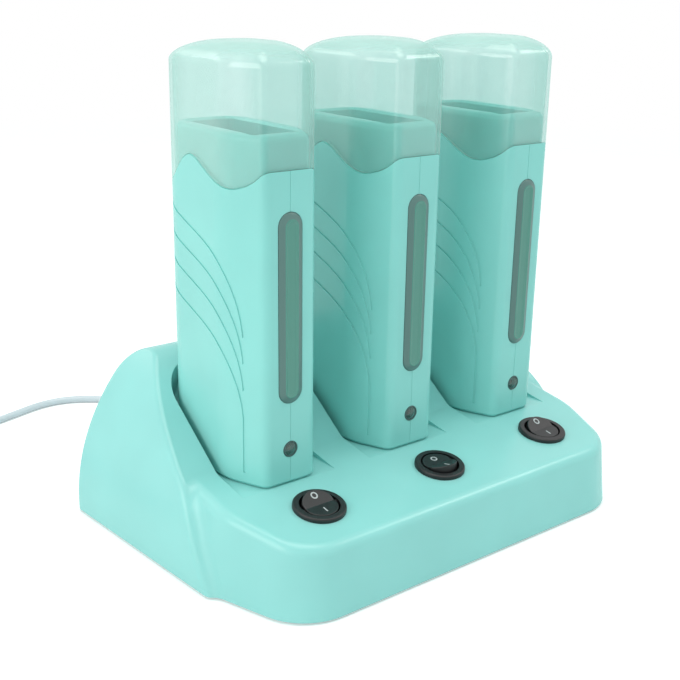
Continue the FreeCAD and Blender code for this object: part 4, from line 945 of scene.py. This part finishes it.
@dataclass
class Studio:
    """White surroundings, pale floor and soft lamps.

    Attributes:
        ambient: strength of the white surroundings as a light.
        ambient_colour: their colour as a light, a little cool; to the eye they stay white.
        lamps: the soft lamps.
        floor_colour: colour of the floor, sRGB hex.
        floor_glow: white that the floor adds to the eye, so that it meets the white behind it.
        floor_radius: radius of the floor's disc, m.
        fade: radii between which the floor fades into the white surroundings, m.
    """

    ambient: float = 0.68
    ambient_colour: str = "#E0FFFC"
    lamps: tuple[SoftBox, ...] = (
        SoftBox("top_softbox", (0.0, 0.0, 1.5), (0.0, 0.0, 0.1), (1.0, 1.0), 9.0),
        SoftBox("left_softbox", (-1.25, 0.0, 0.7), (0.0, 0.0, 0.12), (0.8, 0.8), 5.2),
        SoftBox("low_softbox", (-1.4, -0.45, 0.3), (0.0, 0.0, 0.1), (1.1, 0.6), 1.9),
        SoftBox("rear_softbox", (-0.5, 1.25, 0.95), (0.0, 0.0, 0.1), (0.9, 0.3), 2.0),
        SoftBox("right_softbox", (1.0, -0.5, 1.15), (0.0, 0.0, 0.05), (0.6, 0.3), 3.6),
    )
    floor_colour: str = "#F4F4F4"
    floor_glow: float = 0.3
    floor_radius: float = 2.4
    fade: tuple[float, float] = (0.5, 1.6)

    def surroundings(self) -> None:
        """Makes the white world: white to the eye and in reflections, softer as a light."""
        world = bpy.data.worlds.new("white_studio")
        bpy.context.scene.world = world
        world.use_nodes = True
        tree = world.node_tree
        tree.nodes.clear()
        path = add_node(tree, "LightPath")
        seen = path.outputs["Is Camera Ray"]
        for ray in ("Is Glossy Ray", "Is Transmission Ray"):
            seen = add_node(tree, "Math", {0: seen, 1: path.outputs[ray]}, operation="MAXIMUM").outputs[0]
        strength = add_node(tree, "MapRange", {0: seen, 1: 0.0, 2: 1.0, 3: self.ambient, 4: 1.0})
        shade = add_node(tree, "Mix", {0: seen, 6: linear(self.ambient_colour), 7: WHITE}, data_type="RGBA")
        light = add_node(tree, "Background", {"Color": shade.outputs[2], "Strength": strength.outputs[0]})
        add_node(tree, "OutputWorld", {"Surface": light.outputs[0]})

    def floor_material(self) -> bpy.types.Material:
        """Makes the pale matt floor that keeps the shadow and fades out far from the object.

        Returns:
            The floor's material.
        """
        made = bpy.data.materials.new("white_paper_floor")
        made.use_nodes = True
        tree = made.node_tree
        tree.nodes.clear()
        place = add_node(tree, "TexCoord").outputs["Object"]
        reach = add_node(tree, "VectorMath", {0: place}, operation="LENGTH").outputs["Value"]
        away = add_node(tree, "MapRange", {0: reach, 1: self.fade[0], 2: self.fade[1], 3: 0.0, 4: 1.0},
                        interpolation_type="SMOOTHSTEP")
        paper = add_node(tree, "BsdfDiffuse", {"Color": linear(self.floor_colour)})
        path = add_node(tree, "LightPath")
        lift = add_node(tree, "Math", {0: path.outputs["Is Camera Ray"], 1: self.floor_glow},
                        operation="MULTIPLY")
        glow = add_node(tree, "Emission", {"Color": WHITE, "Strength": lift.outputs[0]})
        paper = add_node(tree, "AddShader", {0: paper.outputs[0], 1: glow.outputs[0]})
        clear = add_node(tree, "BsdfTransparent")
        mixed = add_node(tree, "MixShader", {0: away.outputs[0], 1: paper.outputs[0], 2: clear.outputs[0]})
        add_node(tree, "OutputMaterial", {"Surface": mixed.outputs[0]})
        return made

    def floor(self) -> None:
        """Lays the floor as a disc on the table's level."""
        radius = self.floor_radius / MM
        rings = [[Vector((a, b, 0.0)) for a, b in circle(radius * share, 64)] for share in (1.0, 0.5, 0.1)]
        floor = loft("floor", rings, cap_start=False)
        floor.data.materials.append(self.floor_material())

    def build(self) -> None:
        """Sets up surroundings, floor and lamps."""
        self.surroundings()
        self.floor()
        for lamp in self.lamps:
            lamp.build()


@dataclass
class ViewCamera:
    """The camera, a normal lens a little above the object and to its left.

    Attributes:
        place: where it stands, m.
        heading: turn of its line of sight from +Y towards +X, degrees.
        pitch: how far it looks down, degrees.
        roll: tilt about the line of sight, degrees.
        focal: focal length in picture widths.
        sensor_mm: width of the sensor.
    """

    place: tuple[float, float, float] = (-0.3068, -0.3650, 0.2443)
    heading: float = 38.0
    pitch: float = 18.7
    roll: float = 1.0
    focal: float = 1.5631
    sensor_mm: float = 36.0

    def build(self) -> None:
        """Makes the camera and lets the scene look through it."""
        heading, pitch, roll = (math.radians(a) for a in (self.heading, self.pitch, self.roll))
        ahead = Vector((math.sin(heading) * math.cos(pitch), math.cos(heading) * math.cos(pitch),
                        -math.sin(pitch)))
        level = Vector((math.cos(heading), -math.sin(heading), 0.0))
        above = level.cross(ahead)
        right = level * math.cos(roll) + above * math.sin(roll)
        up = above * math.cos(roll) - level * math.sin(roll)
        data = bpy.data.cameras.new("view_camera")
        data.sensor_width = self.sensor_mm
        data.lens = self.focal * self.sensor_mm
        data.clip_start = 0.02
        camera = bpy.data.objects.new("view_camera", data)
        turn = Matrix((right, up, -ahead)).transposed()
        camera.matrix_world = Matrix.Translation(self.place) @ turn.to_4x4()
        bpy.context.scene.collection.objects.link(camera)
        bpy.context.scene.camera = camera


def main() -> None:
    """Builds the camera, the cord, the base, the heaters and the studio, in that order."""
    logging.basicConfig(level=logging.INFO, format="%(message)s")
    ViewCamera().build()
    MainsCord().build()
    Base().build()
    for number in HEATERS:
        Heater(number).build()
    Studio().build()
    bpy.context.scene.view_settings.view_transform = "Standard"


if __name__ == "__main__":
    main()
